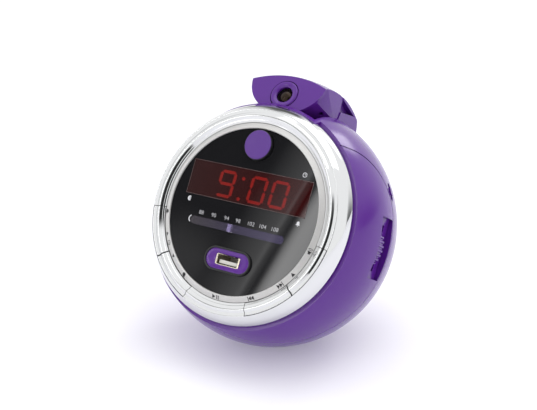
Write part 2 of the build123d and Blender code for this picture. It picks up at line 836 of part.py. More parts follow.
with BuildPart() as display_board:
    with BuildSketch(dial(-display_recess - module_depth, up=window_up)):
        Rectangle(2 * board_half + 3.6, 26)
    extrude(amount=-board_thickness)
display_board.part.label = "display_board"
export_step(display_board.part, "parts/display_board.step")

# ---------------------------------------------------------------- tuning pointer
with BuildPart() as pointer_rail:
    with BuildSketch(Plane.YZ):
        with Locations((rail_point.Y, rail_point.Z)):
            Circle(rail_radius)
    extrude(amount=rail_half, both=True)
pointer_rail.part.label = "pointer_rail"
export_step(pointer_rail.part, "parts/pointer_rail.step")

with BuildPart() as tuning_pointer:
    with BuildSketch(dial(-frame_back + 0.6, side=-pointer_rest, up=-scale_down)):
        Rectangle(pointer_width, scale_height + 0.2)
    extrude(amount=0.9)
    with BuildSketch(dial(-frame_back + 0.6, side=-pointer_rest, up=-scale_down)):
        Rectangle(pointer_width, 2.4)
    extrude(amount=-1.4)
    with BuildSketch(dial(-frame_back - 0.5, side=-pointer_rest, up=-scale_down)):
        Rectangle(7, 4.4)
    extrude(amount=-3.4)
    with BuildSketch(Plane.YZ):
        with Locations((rail_point.Y, rail_point.Z)):
            Circle(rail_radius + shaft_gap)
    extrude(amount=rail_half, both=True, mode=Mode.SUBTRACT)
tuning_pointer.part.label = "tuning_pointer"
export_step(tuning_pointer.part, "parts/tuning_pointer.step")

# ---------------------------------------------------------------- thumb wheels
def thumb_wheel(side):
    """Ribbed wheel and its shaft; the right side is +1."""
    back_face = wheel_ahead - wheel_width / 2 - glass_front
    with BuildPart() as wheel:
        with BuildSketch(dial(back_face, side=side * wheel_side)):
            Circle(wheel_radius)
            with PolarLocations(wheel_radius, wheel_teeth):
                Circle(tooth_radius, mode=Mode.SUBTRACT)
        extrude(amount=wheel_width)
        with BuildSketch(dial(back_face, side=side * wheel_side)):
            Circle(wheel_radius - 2.5)
            Circle(shaft_radius + 1.5, mode=Mode.SUBTRACT)
        extrude(amount=2, mode=Mode.SUBTRACT)
        with BuildSketch(dial(back_face + 2, side=side * wheel_side)):
            Circle(shaft_radius)
        extrude(amount=-11)
    return wheel.part


volume_wheel = thumb_wheel(1)
volume_wheel.label = "volume_wheel"
export_step(volume_wheel, "parts/volume_wheel.step")
tuning_wheel = thumb_wheel(-1)
tuning_wheel.label = "tuning_wheel"
export_step(tuning_wheel, "parts/tuning_wheel.step")

with BuildPart() as volume_pot:
    with BuildSketch(dial(-glass_front - main_board_back, side=wheel_side)):
        Rectangle(11, 12)
    extrude(amount=8)
    with BuildSketch(dial(-glass_front - main_board_back + 1, side=wheel_side)):
        Circle(shaft_radius + shaft_gap)
    extrude(amount=8, mode=Mode.SUBTRACT)
volume_pot.part.label = "volume_pot"
export_step(volume_pot.part, "parts/volume_pot.step")

with BuildPart() as tuning_capacitor:
    with BuildSketch(dial(-glass_front - main_board_back, side=-wheel_side)):
        RectangleRounded(13, 15, 1)
    extrude(amount=8)
    with BuildSketch(dial(-glass_front - main_board_back + 1, side=-wheel_side)):
        Circle(shaft_radius + shaft_gap)
    extrude(amount=8, mode=Mode.SUBTRACT)
tuning_capacitor.part.label = "tuning_capacitor"
export_step(tuning_capacitor.part, "parts/tuning_capacitor.step")

with BuildPart() as main_board:
    with BuildSketch(dial(-glass_front - main_board_back)):
        Circle(main_board_radius)
        with Locations((0, main_board_top)):
            Rectangle(
                3 * main_board_radius, main_board_radius,
                align=(Align.CENTER, Align.MIN), mode=Mode.SUBTRACT,
            )
        with Locations(*pillar_points):
            Circle(pillar_radius + 0.05, mode=Mode.SUBTRACT)
    extrude(amount=-board_thickness)
main_board.part.label = "main_board"
export_step(main_board.part, "parts/main_board.step")

# ---------------------------------------------------------------- slide switch
with BuildPart() as switch_knob:
    with BuildSketch(switch_plane.offset(move_gap - switch_depth)):
        RectangleRounded(4.0, 3.4, 0.6)
    extrude(amount=switch_depth + 0.4)
    with BuildSketch(switch_plane.offset(move_gap - switch_depth)):
        Rectangle(2.8, 1.6)
    extrude(amount=-3)
switch_knob.part.label = "switch_knob"
export_step(switch_knob.part, "parts/switch_knob.step")

switch_seat = shell_wall + 0.35
with BuildPart() as switch_body:
    with BuildSketch(switch_plane.offset(-switch_seat)):
        Rectangle(10, 5)
    extrude(amount=-4.4)
    with BuildSketch(switch_plane.offset(-switch_seat)):
        Rectangle(7, 2.2)
    extrude(amount=-2.2, mode=Mode.SUBTRACT)
switch_body.part.label = "switch_body"
export_step(switch_body.part, "parts/switch_body.step")

# ---------------------------------------------------------------- loudspeaker
speaker_section = Plane(speaker_plane.origin, x_dir=(1, 0, 0), z_dir=(0, 0, 1))
with BuildPart() as speaker_basket:
    with BuildSketch(speaker_section):
        with BuildLine():
            Polyline(
                (speaker_radius - cone_step, 0), (speaker_radius, 0), (speaker_radius, -1.5),
                (speaker_radius - 2, -1.5), (magnet_radius, -speaker_depth), (4, -speaker_depth),
                (4, 1 - speaker_depth), (magnet_radius - 0.6, 1 - speaker_depth),
                (speaker_radius - cone_step, -2), close=True,
            )
        make_face()
    revolve(axis=speaker_axis)
speaker_basket.part.label = "speaker_basket"
export_step(speaker_basket.part, "parts/speaker_basket.step")

with BuildPart() as speaker_cone:
    with BuildSketch(speaker_section):
        with BuildLine():
            Polyline(
                (speaker_radius - cone_step, -0.6), (speaker_radius - cone_step - 1.2, -0.6),
                (5, 3.5 - speaker_depth), (0, 5.5 - speaker_depth), (0, 5 - speaker_depth),
                (5, 2.9 - speaker_depth), (speaker_radius - cone_step - 1.2, -1.2),
                (speaker_radius - cone_step, -1.2), close=True,
            )
        make_face()
    revolve(axis=speaker_axis)
speaker_cone.part.label = "speaker_cone"
export_step(speaker_cone.part, "parts/speaker_cone.step")

with BuildPart() as speaker_magnet:
    with BuildSketch(speaker_plane.offset(-speaker_depth)):
        Circle(magnet_radius)
    extrude(amount=-magnet_depth)
    chamfer(speaker_magnet.faces().sort_by(Axis.Y)[0].edges(), 0.6)
speaker_magnet.part.label = "speaker_magnet"
export_step(speaker_magnet.part, "parts/speaker_magnet.step")

# ---------------------------------------------------------------- sockets
with BuildPart() as usb_gasket:
    with BuildSketch(dial(-glass_thickness, up=-usb_down)):
        SlotOverall(surround_length + 2 * gasket_wall, surround_height + 2 * gasket_wall)
        SlotOverall(surround_length, surround_height, mode=Mode.SUBTRACT)
    extrude(amount=glass_thickness + 1.4)
    top_face = usb_gasket.faces().sort_by(Axis(centre, face_normal))[-1]
    fillet(top_face.edges(), 0.35)
usb_gasket.part.label = "usb_gasket"
export_step(usb_gasket.part, "parts/usb_gasket.step")

with BuildPart() as usb_surround:
    with BuildSketch(dial(-glass_thickness, up=-usb_down)):
        SlotOverall(surround_length - 0.1, surround_height - 0.1)
    extrude(amount=glass_thickness + 0.9)
    with BuildSketch(dial(0.9, up=-usb_down)):
        SlotOverall(surround_length - 2, surround_height - 2)
    with BuildSketch(dial(0.2, up=-usb_down)):
        SlotOverall(surround_length - 7, surround_height - 3.4)
    loft(mode=Mode.SUBTRACT)
    with BuildSketch(dial(-glass_thickness, up=-usb_down)):
        Rectangle(usb_width + 0.1, usb_height + 0.1)
    extrude(amount=glass_thickness + 2, mode=Mode.SUBTRACT)
usb_surround.part.label = "usb_surround"
export_step(usb_surround.part, "parts/usb_surround.step")

with BuildPart() as usb_shell:
    with BuildSketch(dial(-usb_depth, up=-usb_down)):
        RectangleRounded(usb_width, usb_height, 0.5)
    extrude(amount=usb_depth + 0.3)
    with BuildSketch(dial(0.3, up=-usb_down)):
        RectangleRounded(usb_width + 2 * usb_flare, usb_height + 2 * usb_flare, 0.8)
    extrude(amount=0.3)
    with BuildSketch(dial(-usb_depth, up=-usb_down)):
        Rectangle(usb_width - 2 * usb_wall, usb_height - 2 * usb_wall)
    extrude(amount=usb_depth + 1, mode=Mode.SUBTRACT)
usb_shell.part.label = "usb_shell"
export_step(usb_shell.part, "parts/usb_shell.step")

with BuildPart() as usb_tongue:
    with BuildSketch(dial(-usb_depth, up=-usb_down)):
        Rectangle(usb_width - 2 * usb_wall, usb_height - 2 * usb_wall)
    extrude(amount=0.8)
    with BuildSketch(dial(-usb_depth, up=-usb_down - 1.0)):
        Rectangle(11.1, 1.84)
    extrude(amount=usb_depth - 0.9)
usb_tongue.part.label = "usb_tongue"
export_step(usb_tongue.part, "parts/usb_tongue.step")

with BuildPart() as usb_board:
    with BuildSketch(dial(-frame_back, up=-usb_down - usb_height / 2)):
        Rectangle(20, board_thickness, align=(Align.CENTER, Align.MAX))
    extrude(amount=-usb_depth)
usb_board.part.label = "usb_board"
export_step(usb_board.part, "parts/usb_board.step")

with BuildPart() as dc_jack:
    with BuildSketch(jack_plane.offset(-10.5)):
        Circle(jack_radius)
    extrude(amount=10.5)
    with BuildSketch(jack_plane.offset(-8)):
        Rectangle(7.4, 7.4)
    extrude(amount=-6)
    with BuildSketch(jack_plane.offset(-9.5)):
        Circle(2.75)
        Circle(1.05, mode=Mode.SUBTRACT)
    extrude(amount=9.5, mode=Mode.SUBTRACT)
    with BuildSketch(jack_plane.offset(-0.8)):
        Circle(1.05)
    extrude(amount=1, mode=Mode.SUBTRACT)
dc_jack.part.label = "dc_jack"
export_step(dc_jack.part, "parts/dc_jack.step")

# ---------------------------------------------------------------- projector
skin_centre = hinge + lens_direction * skin_ahead + Vector(
    0, -sin(radians(lens_elevation)) * skin_below, -cos(radians(lens_elevation)) * skin_below
)
head_plane = head_section(lens_elevation)
cavity_top = 8.0
cavity_half = 17.0
cavity_keel = 7.0
cavity_back = 6.0
rear_start = 15.0
with BuildPart() as head_solid:
    with BuildSketch(head_plane):
        with BuildLine():
            Polyline(
                (-12.5, 0), (-6, -keel_depth), (projector_reach, -keel_depth),
                (projector_reach, 30), (14, 30), (14, 20),
            )
            ThreePointArc((14, 20), (-4.5, 14.3), (-12.5, 0))
        make_face()
    extrude(amount=head_half, both=True)
    with BuildSketch(lens_plane(-30)):
        with BuildLine():
            FilletPolyline(
                (-head_half, 24), (-head_half, 8.5), (-keel_half, -0.5),
                (-keel_floor_half, -keel_depth), (keel_floor_half, -keel_depth),
                (keel_half, -0.5), (head_half, 8.5), (head_half, 24),
                radius=(8, 4, 4, 4, 4, 8),
            )
            Line((head_half, 24), (-head_half, 24))
        make_face()
    extrude(amount=80, mode=Mode.INTERSECT)
    with Locations(skin_centre):
        Sphere(skin_radius, mode=Mode.INTERSECT)

with BuildPart() as side_pockets:
    with BuildSketch(head_plane) as side_pocket:
        Polygon((15.9, 12.1), (-1.3, 11.9), (14, 6.2), align=None)
    extrude(amount=head_half, both=True)
    extrude(side_pocket.sketch, amount=head_half - 4, both=True, mode=Mode.SUBTRACT)

plate_back = projector_reach - plate_thickness
with BuildPart() as projector_shell:
    add(head_solid.part)
    with BuildSketch(lens_plane(-30)):
        Rectangle(4 * head_half, 4 * head_half)
        Rectangle(2 * (head_half - rear_gap), 4 * head_half, mode=Mode.SUBTRACT)
    extrude(amount=30 + rear_start, mode=Mode.SUBTRACT)
    add(side_pockets.part, mode=Mode.SUBTRACT)
    with BuildSketch(lens_plane(-cavity_back)):
        with BuildLine():
            Polyline(
                (-cavity_half, cavity_top), (-cavity_half, -0.5), (-9.5, -cavity_keel),
                (9.5, -cavity_keel), (cavity_half, -0.5), (cavity_half, cavity_top), close=True,
            )
        make_face()
    extrude(amount=projector_reach + cavity_back, mode=Mode.SUBTRACT)
    with BuildSketch(lens_plane(projector_reach - focus_depth - 1)):
        Circle(focus_radius + move_gap)
    extrude(amount=10, mode=Mode.SUBTRACT)
    with BuildSketch(lens_plane(plate_back)):
        Rectangle(4 * head_half, 4 * head_half)
    extrude(amount=10, mode=Mode.SUBTRACT)
    with BuildSketch(Plane.YZ):
        with Locations((hinge.Y, hinge.Z)):
            Circle(pin_radius + shaft_gap)
    extrude(amount=head_half, both=True, mode=Mode.SUBTRACT)
projector_shell.part.label = "projector_shell"
export_step(projector_shell.part, "parts/projector_shell.step")

with BuildPart() as projector_front:
    add(head_solid.part)
    with BuildSketch(lens_plane(plate_back)):
        Rectangle(4 * head_half, 4 * head_half)
    extrude(amount=-80, mode=Mode.SUBTRACT)
    with BuildSketch(lens_plane(plate_back)):
        Circle(focus_radius + move_gap)
    extrude(amount=10, mode=Mode.SUBTRACT)
    outer_face = projector_front.faces().sort_by(Axis(hinge, lens_direction))[-1]
    chamfer(outer_face.edges().filter_by(GeomType.CIRCLE, reverse=True), 0.4)
projector_front.part.label = "projector_front"
export_step(projector_front.part, "parts/projector_front.step")

with BuildPart() as hinge_pins:
    with BuildSketch(Plane.YZ.offset(cavity_half + 1)):
        with Locations((hinge.Y, hinge.Z)):
            Circle(pin_radius)
    extrude(amount=pin_end - cavity_half - 1)
    mirror(about=Plane.YZ)
hinge_pins.part.label = "hinge_pins"
export_step(hinge_pins.part, "parts/hinge_pins.step")

focus_front = projector_reach + focus_proud
lens_section = Plane(hinge, x_dir=(1, 0, 0), z_dir=lens_direction.cross(Vector(-1, 0, 0)))
lens_axis = Axis(hinge, lens_direction)
with BuildPart() as focus_ring:
    with BuildSketch(lens_section):
        with BuildLine():
            Polyline(
                (focus_bore, projector_reach - focus_depth),
                (focus_radius, projector_reach - focus_depth),
                (focus_radius, focus_front - 0.5),
                (focus_radius - 0.5, focus_front), (focus_lip + 0.4, focus_front),
                (focus_lip, focus_front - 0.4), (focus_lip, focus_front - 0.8),
                (focus_bore, focus_front - 0.8), close=True,
            )
        make_face()
    revolve(axis=lens_axis)
focus_ring.part.label = "focus_ring"
export_step(focus_ring.part, "parts/focus_ring.step")

barrel_front = projector_reach - 1.5
with BuildPart() as lens_barrel:
    with BuildSketch(lens_plane(barrel_front - barrel_length)):
        Circle(barrel_radius)
        Circle(barrel_bore - 0.6, mode=Mode.SUBTRACT)
    extrude(amount=barrel_length)
    with BuildSketch(lens_plane(barrel_front)):
        Circle(barrel_bore)
    extrude(amount=-lens_thickness - 0.8, mode=Mode.SUBTRACT)
lens_barrel.part.label = "lens_barrel"
export_step(lens_barrel.part, "parts/lens_barrel.step")

lens_seat = barrel_front - lens_thickness - 0.8
lens_rise = 1.2
glass_edge = barrel_bore - 0.05
with BuildPart() as projection_lens:
    with BuildSketch(lens_section):
        with BuildLine():
            Polyline(
                (0, lens_seat + lens_thickness), (0, lens_seat), (glass_edge, lens_seat),
                (glass_edge, lens_seat + lens_thickness - lens_rise),
            )
            ThreePointArc(
                (glass_edge, lens_seat + lens_thickness - lens_rise),
                dome_point(glass_edge, lens_rise, lens_seat + lens_thickness),
                (0, lens_seat + lens_thickness),
            )
        make_face()
    revolve(axis=lens_axis)
projection_lens.part.label = "projection_lens"
export_step(projection_lens.part, "parts/projection_lens.step")

# Light box behind the barrel: an LED, a small LCD slide and the barrel's guide.
box_back = 9.5
box_front = projector_reach - focus_depth - 2.5
slide_back = box_back + 4.5
slide_width = 18.0
slide_height = 8.6
slide_thickness = 1.6
box_half_high = slide_height / 2 + 1.1
with BuildPart() as optics_housing:
    with BuildSketch(lens_plane(box_back)):
        Rectangle(slide_width + 4, 2 * box_half_high)
        with Locations((0, -box_half_high)):
            Rectangle(
                slide_width - 2, cavity_keel - box_half_high, align=(Align.CENTER, Align.MAX)
            )
    extrude(amount=box_front - box_back)
    with BuildSketch(lens_plane(box_back)):
        Rectangle(slide_width, slide_height)
    extrude(amount=slide_back + slide_thickness - box_back, mode=Mode.SUBTRACT)
    with BuildSketch(lens_plane(box_back)):
        Circle(barrel_radius + move_gap)
    extrude(amount=box_front, mode=Mode.SUBTRACT)
optics_housing.part.label = "optics_housing"
export_step(optics_housing.part, "parts/optics_housing.step")

with BuildPart() as lcd_slide:
    with BuildSketch(lens_plane(slide_back)):
        Rectangle(slide_width, slide_height)
    extrude(amount=slide_thickness)
lcd_slide.part.label = "lcd_slide"
export_step(lcd_slide.part, "parts/lcd_slide.step")

led_board = 1.2
with BuildPart() as projector_led:
    with BuildSketch(lens_plane(box_back)):
        Rectangle(slide_width, slide_height)
    extrude(amount=led_board)
    with BuildSketch(lens_plane(box_back + led_board)):
        Circle(2)
    extrude(amount=slide_thickness)
projector_led.part.label = "projector_led"
export_step(projector_led.part, "parts/projector_led.step")
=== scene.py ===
"""Projection alarm clock: a purple ball with a tilted round face and a fold-out projector.

Lengths are written in millimetres and scaled by MM. The sections follow the clock as it is
put together: the room, the housing, the ring and its buttons, the lettering band, the glass,
the display, the tuning scale, the snooze button, the socket, the projector and the inside.
"""
import math

import bpy
from mathutils import Matrix, Vector


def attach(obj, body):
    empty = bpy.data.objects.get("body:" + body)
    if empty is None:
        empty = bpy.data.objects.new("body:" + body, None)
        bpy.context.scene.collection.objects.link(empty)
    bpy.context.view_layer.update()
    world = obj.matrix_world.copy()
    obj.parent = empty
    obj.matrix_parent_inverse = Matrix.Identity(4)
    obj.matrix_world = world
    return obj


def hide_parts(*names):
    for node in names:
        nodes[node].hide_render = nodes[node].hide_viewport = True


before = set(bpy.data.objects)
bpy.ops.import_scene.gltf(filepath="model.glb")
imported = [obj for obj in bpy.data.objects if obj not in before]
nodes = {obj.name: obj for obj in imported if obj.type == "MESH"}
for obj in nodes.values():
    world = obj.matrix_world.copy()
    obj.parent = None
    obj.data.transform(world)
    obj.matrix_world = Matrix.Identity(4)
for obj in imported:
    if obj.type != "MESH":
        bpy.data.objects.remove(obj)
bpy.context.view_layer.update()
MM = 0.001

# ---- Room ----------------------------------------------------------------------------------
# A pale matt sweep of paper under the clock, as in a product studio, with one softbox above it.
# The mirror ring shows the room, so the room's screens and dark gaps are set by their directions.
# The camera stands to the right and looks down a little.


def linear(hex_colour, alpha=1.0):
    """An sRGB hex colour as the linear RGBA that a shader socket takes."""
    channels = [int(hex_colour[i : i + 2], 16) / 255 for i in (1, 3, 5)]
    return [c / 12.92 if c <= 0.04045 else ((c + 0.055) / 1.055) ** 2.4 for c in channels] + [alpha]


def add_node(material, kind, settings=None, links=None):
    """Adds a shader node, sets its fields and sockets, and links sockets from other nodes."""
    node = material.node_tree.nodes.new(kind)
    for name, value in (settings or {}).items():
        if isinstance(name, str) and hasattr(node, name):
            setattr(node, name, value)
        else:
            node.inputs[name].default_value = value
    for name, source in (links or {}).items():
        material.node_tree.links.new(source, node.inputs[name])
    return node


def new_material(name):
    """An empty node material with its Principled shader and its Object coordinates."""
    material = bpy.data.materials.new(name)
    material.use_nodes = True
    shader = material.node_tree.nodes["Principled BSDF"]
    coordinates = add_node(material, "ShaderNodeTexCoord")
    return material, shader, coordinates.outputs["Object"]


def surface(material, pattern, tones=None, roughness=None, relief=None):
    """Lets a pattern vary a material's tone or roughness, or gives it relief by a strength and a depth."""
    shader, links = material.node_tree.nodes["Principled BSDF"], material.node_tree.links
    if tones:
        pair = {"data_type": "RGBA", 6: linear(tones[0]), 7: linear(tones[1])}
        mixed = add_node(material, "ShaderNodeMix", pair, {0: pattern})
        links.new(mixed.outputs[2], shader.inputs["Base Color"])
    if roughness:
        limits = {"To Min": roughness[0], "To Max": roughness[1]}
        varied = add_node(material, "ShaderNodeMapRange", limits, {"Value": pattern})
        links.new(varied.outputs["Result"], shader.inputs["Roughness"])
    if relief:
        bumps = add_node(
            material, "ShaderNodeBump", {"Strength": relief[0], "Distance": relief[1]}, {"Height": pattern}
        )
        links.new(bumps.outputs["Normal"], shader.inputs["Normal"])


def dress(piece, material):
    """Gives the whole piece one material."""
    piece.data.materials.clear()
    piece.data.materials.append(material)


paper, paper_shader, paper_place = new_material("seamless_paper")
# The table is lit from below as well, which keeps the shadow under the clock soft.
paper_shader.inputs["Base Color"].default_value = linear("#E0E0E3")
paper_shader.inputs["Emission Color"].default_value = linear("#F6F4FF")
paper_shader.inputs["Emission Strength"].default_value = 0.25
paper_shader.inputs["Roughness"].default_value = 0.55
paper_grain = add_node(paper, "ShaderNodeTexNoise", {"Scale": 900.0, "Detail": 4.0}, {"Vector": paper_place})
surface(paper, paper_grain.outputs["Fac"], relief=(0.04, 0.0002))

bpy.ops.object.select_all(action="DESELECT")
bpy.ops.mesh.primitive_plane_add(size=6, location=(0, 0, 0))
floor = bpy.context.object
floor.name = "paper_sweep"
dress(floor, paper)

bpy.context.scene.view_settings.view_transform = "Standard"
world = bpy.data.worlds.new("studio")
bpy.context.scene.world = world
world.use_nodes = True
studio = world.node_tree.nodes["Background"]
sky = add_node(world, "ShaderNodeTexCoord")
sky_parts = add_node(world, "ShaderNodeSeparateXYZ", {}, {"Vector": sky.outputs["Generated"]})


# The room's brightness is worked out in steps: a name, an operation, and its values, which are
# numbers or the names of earlier steps. A smooth step fades between two values over two angles.
room = dict(zip("xyz", sky_parts.outputs))


def work_out(steps):
    """Adds the nodes for some steps of the room's brightness."""
    for name, operation, *values in steps:
        kind, field, sockets = "ShaderNodeMath", "operation", (0, 1)
        if operation == "SMOOTHSTEP":
            kind, field = "ShaderNodeMapRange", "interpolation_type"
            sockets = ("Value", "From Min", "From Max", "To Min", "To Max")
        settings, links = {field: operation}, {}
        for socket, value in zip(sockets, values):
            if isinstance(value, str):
                links[socket] = room[value]
            else:
                settings[socket] = value
        room[name] = add_node(world, kind, settings, links).outputs[0]


# Directions in degrees: the bearing is 0 straight ahead of the clock and grows to its right.
work_out((
    ("ahead", "MULTIPLY", "y", -1), ("turn", "ARCTAN2", "x", "ahead"), ("bearing", "MULTIPLY", "turn", 180 / math.pi),
    ("lift", "ARCSINE", "z"), ("height", "MULTIPLY", "lift", 180 / math.pi),
))
# Soft-edged patches, by the angles that their left, right, lower and upper edges fade between. A
# black flag stands ahead and to the left, and a bright screen behind. The dark of the room shows
# near the camera, far on the right and behind on the left.
patches = {
    "flag_reach": ((-52, -44), (-30, -24), (17, 22), (34, 40)),
    "rear_screen": ((160, 168), (190, 200), (18, 26), (36, 44)),
    "near_camera": ((13, 19), (48, 58), (-14, -8), (44, 52)),
    "far_right": ((110, 120), (130, 158), (-50, -40), (-2, 18)),
    "behind_left": ((-168, -158), (-142, -130), (8, 16), (42, 54)),
}
for patch, (left, right, below, above) in patches.items():
    work_out((
        ("left", "SMOOTHSTEP", "bearing", *left, 0, 1), ("right", "SMOOTHSTEP", "bearing", *right, 1, 0),
        ("below", "SMOOTHSTEP", "height", *below, 0, 1), ("above", "SMOOTHSTEP", "height", *above, 1, 0),
        ("across", "MULTIPLY", "left", "right"), ("upward", "MULTIPLY", "below", "above"),
        (patch, "MULTIPLY", "across", "upward"),
    ))
# Another bright screen begins at the flag's edge.
flag_edge = add_node(world, "ShaderNodeMapRange", {"From Min": -36.5, "From Max": -32.0}, {"Value": room["bearing"]})
flag_ramp = add_node(world, "ShaderNodeValToRGB", {}, {"Fac": flag_edge.outputs["Result"]})
flag_stops = (
    (0.0, 0.005), (0.5, 0.2), (0.545, 0.34), (0.58, 0.11), (0.62, 0.09), (0.66, 0.0), (0.70, 0.06),
    (0.76, 0.6), (0.84, 0.92), (0.92, 0.9), (1.0, 0.82),
)
for place_on_edge, level in flag_stops[1:-1]:
    flag_ramp.color_ramp.elements.new(place_on_edge)
for stop, (place_on_edge, level) in zip(flag_ramp.color_ramp.elements, flag_stops):
    stop.position = place_on_edge
    stop.color = (level, level, level, 1)
room["flag"] = flag_ramp.outputs["Color"]
# A low lamp glows softly beside the flag's lower corner.
work_out((
    ("open_room", "MULTIPLY", "rear_screen", 5), ("open_room", "ADD", "open_room", 1.15),
    ("open_room", "SUBTRACT", "open_room", "far_right"), ("open_room", "SUBTRACT", "open_room", "behind_left"),
    ("camera_part", "MULTIPLY", "near_camera", 1.11), ("open_room", "SUBTRACT", "open_room", "camera_part"),
    ("off_lamp", "ADD", "bearing", 38.2), ("off_lamp", "ABSOLUTE", "off_lamp"),
    ("lamp_across", "SMOOTHSTEP", "off_lamp", 0.6, 2.8, 1, 0), ("lamp_up", "SMOOTHSTEP", "height", 27.5, 24.5, 0, 1),
    ("low_lamp", "MULTIPLY", "lamp_across", "lamp_up"), ("low_lamp", "MULTIPLY", "low_lamp", 0.5),
    ("flag_level", "MULTIPLY", "flag", 6), ("flag_part", "SUBTRACT", "flag_level", "open_room"),
    ("flag_part", "MULTIPLY", "flag_reach", "flag_part"),
    ("brightness", "ADD", "open_room", "flag_part"), ("brightness", "ADD", "brightness", "low_lamp"),
))
studio.inputs["Color"].default_value = linear("#FFFFFF")
world.node_tree.links.new(room["brightness"], studio.inputs["Strength"])

softbox_place = Vector((0.1, 0.2, 1.0))
bpy.ops.object.light_add(type="AREA", location=softbox_place)
softbox = bpy.context.object
softbox.name = "overhead_softbox"
softbox.data.shape = "RECTANGLE"
softbox.data.size = softbox.data.size_y = 0.9
softbox.data.energy = 3
softbox.rotation_euler = (Vector((0, 0, 0.05)) - softbox_place).to_track_quat("-Z", "Y").to_euler()

bpy.ops.object.camera_add()
camera = bpy.context.object
camera_right = Vector((0.8429, 0.5381, 0))
camera_up = Vector((-0.1880, 0.2945, 0.9370))
camera_back = Vector((0.5042, -0.7898, 0.3494))
camera.matrix_world = Matrix.Translation((0.2843, -0.4511, 0.2739)) @ Matrix(
    (camera_right, camera_up, camera_back)
).transposed().to_4x4()
camera.data.sensor_width = 36
camera.data.lens = 70.53
camera.data.clip_start = 0.01
bpy.context.scene.camera = camera

# ---- Housing -------------------------------------------------------------------------------
# Two glossy ABS shells, moulded in purple, that meet at a fine groove. They are one hollow ball
# that is cut by its openings and then parted along the seam.
abs_purple, abs_shader, abs_place = new_material("moulded_purple_abs")
# The melt's flow clouds the purple every 18 mm or so, and the gloss has a faint orange peel.
abs_flow = add_node(abs_purple, "ShaderNodeTexNoise", {"Scale": 55.0, "Detail": 3.0}, {"Vector": abs_place})
abs_peel = add_node(abs_purple, "ShaderNodeTexNoise", {"Scale": 420.0}, {"Vector": abs_place})
surface(abs_purple, abs_flow.outputs["Fac"], ("#521D84", "#58218A"), (0.16, 0.24))
surface(abs_purple, abs_peel.outputs["Fac"], relief=(0.035, 0.0003))
abs_shader.inputs["IOR"].default_value = 1.54
abs_shader.inputs["Coat Weight"].default_value = 0.08
abs_shader.inputs["Specular IOR Level"].default_value = 0.34
abs_shader.inputs["Coat Roughness"].default_value = 0.06


def draw_section(name, corners):
    """An outline in the XZ plane, walked corner by corner, left filled and in edit mode."""
    bpy.ops.object.select_all(action="DESELECT")
    x, z = corners[0]
    bpy.ops.mesh.primitive_plane_add(size=0.1 * MM, location=(x * MM, 0, z * MM))
    piece = bpy.context.object
    piece.name = name
    bpy.ops.object.mode_set(mode="EDIT")
    bpy.ops.mesh.merge(type="CENTER")
    for here, there in zip(corners, corners[1:]):
        step = ((there[0] - here[0]) * MM, 0, (there[1] - here[1]) * MM)
        bpy.ops.mesh.extrude_region_move(TRANSFORM_OT_translate={"value": step})
    bpy.ops.mesh.select_all(action="SELECT")
    bpy.ops.mesh.edge_face_add()
    return piece


def bow(first, through, last, steps):
    """Points along the arc through three points, without its first point."""
    (ax, ay), (bx, by), (cx, cy) = first, through, last
    d = 2 * (ax * (by - cy) + bx * (cy - ay) + cx * (ay - by))
    a, b, c = ax * ax + ay * ay, bx * bx + by * by, cx * cx + cy * cy
    x = (a * (by - cy) + b * (cy - ay) + c * (ay - by)) / d
    y = (a * (cx - bx) + b * (ax - cx) + c * (bx - ax)) / d
    radius = math.hypot(ax - x, ay - y)
    start = math.atan2(ay - y, ax - x)
    middle = (math.atan2(by - y, bx - x) - start) % math.tau
    sweep = (math.atan2(cy - y, cx - x) - start) % math.tau
    if middle > sweep:
        sweep -= math.tau
    turns = [start + sweep * k / steps for k in range(1, steps + 1)]
    return [(x + radius * math.cos(t), y + radius * math.sin(t)) for t in turns]


def spin_section(name, corners, degrees=360, steps=192, start=0):
    """Spins an outline about Z, all the way round or through an angle from a start angle."""
    piece = draw_section(name, corners)
    if degrees == 360:
        bpy.ops.mesh.delete(type="ONLY_FACE")
        bpy.ops.mesh.select_all(action="SELECT")
    bpy.ops.mesh.spin(steps=steps, angle=-math.radians(degrees), center=(0, 0, 0), axis=(0, 0, 1))
    bpy.ops.mesh.select_all(action="SELECT")
    bpy.ops.mesh.remove_doubles(threshold=0.001 * MM)
    bpy.ops.mesh.normals_make_consistent(inside=False)
    bpy.ops.object.mode_set(mode="OBJECT")
    bpy.ops.object.transform_apply()
    piece.matrix_world = Matrix.Rotation(math.radians(start), 4, "Z")
    bpy.ops.object.transform_apply()
    return piece


def settle(piece, seat):
    """Puts a piece that was made flat at the origin into its place, with its mesh."""
    bpy.ops.object.select_all(action="DESELECT")
    piece.select_set(True)
    bpy.context.view_layer.objects.active = piece
    piece.matrix_world = seat
    bpy.ops.object.transform_apply()


def soften(piece, width, segments=2, angle=35):
    """Shades a piece smooth and rounds its hard edges a little, with the faces beside them kept true."""
    bpy.ops.object.select_all(action="DESELECT")
    piece.select_set(True)
    bpy.context.view_layer.objects.active = piece
    bpy.ops.object.shade_smooth_by_angle(angle=math.radians(angle))
    if width:
        bevel = piece.modifiers.new("edge_round", "BEVEL")
        bevel.width = width * MM
        bevel.segments = segments
        bevel.limit_method = "ANGLE"
        bevel.angle_limit = math.radians(angle)
        bevel.harden_normals = True
        bpy.ops.object.modifier_apply(modifier=bevel.name)


def carve(piece, tool, operation="DIFFERENCE"):
    """Cuts a piece with a tool and throws the tool away."""
    bpy.ops.object.select_all(action="DESELECT")
    piece.select_set(True)
    bpy.context.view_layer.objects.active = piece
    cut = piece.modifiers.new("cut", "BOOLEAN")
    cut.operation = operation
    cut.solver = "EXACT"
    cut.object = tool
    bpy.ops.object.modifier_apply(modifier=cut.name)
    bpy.data.objects.remove(tool)


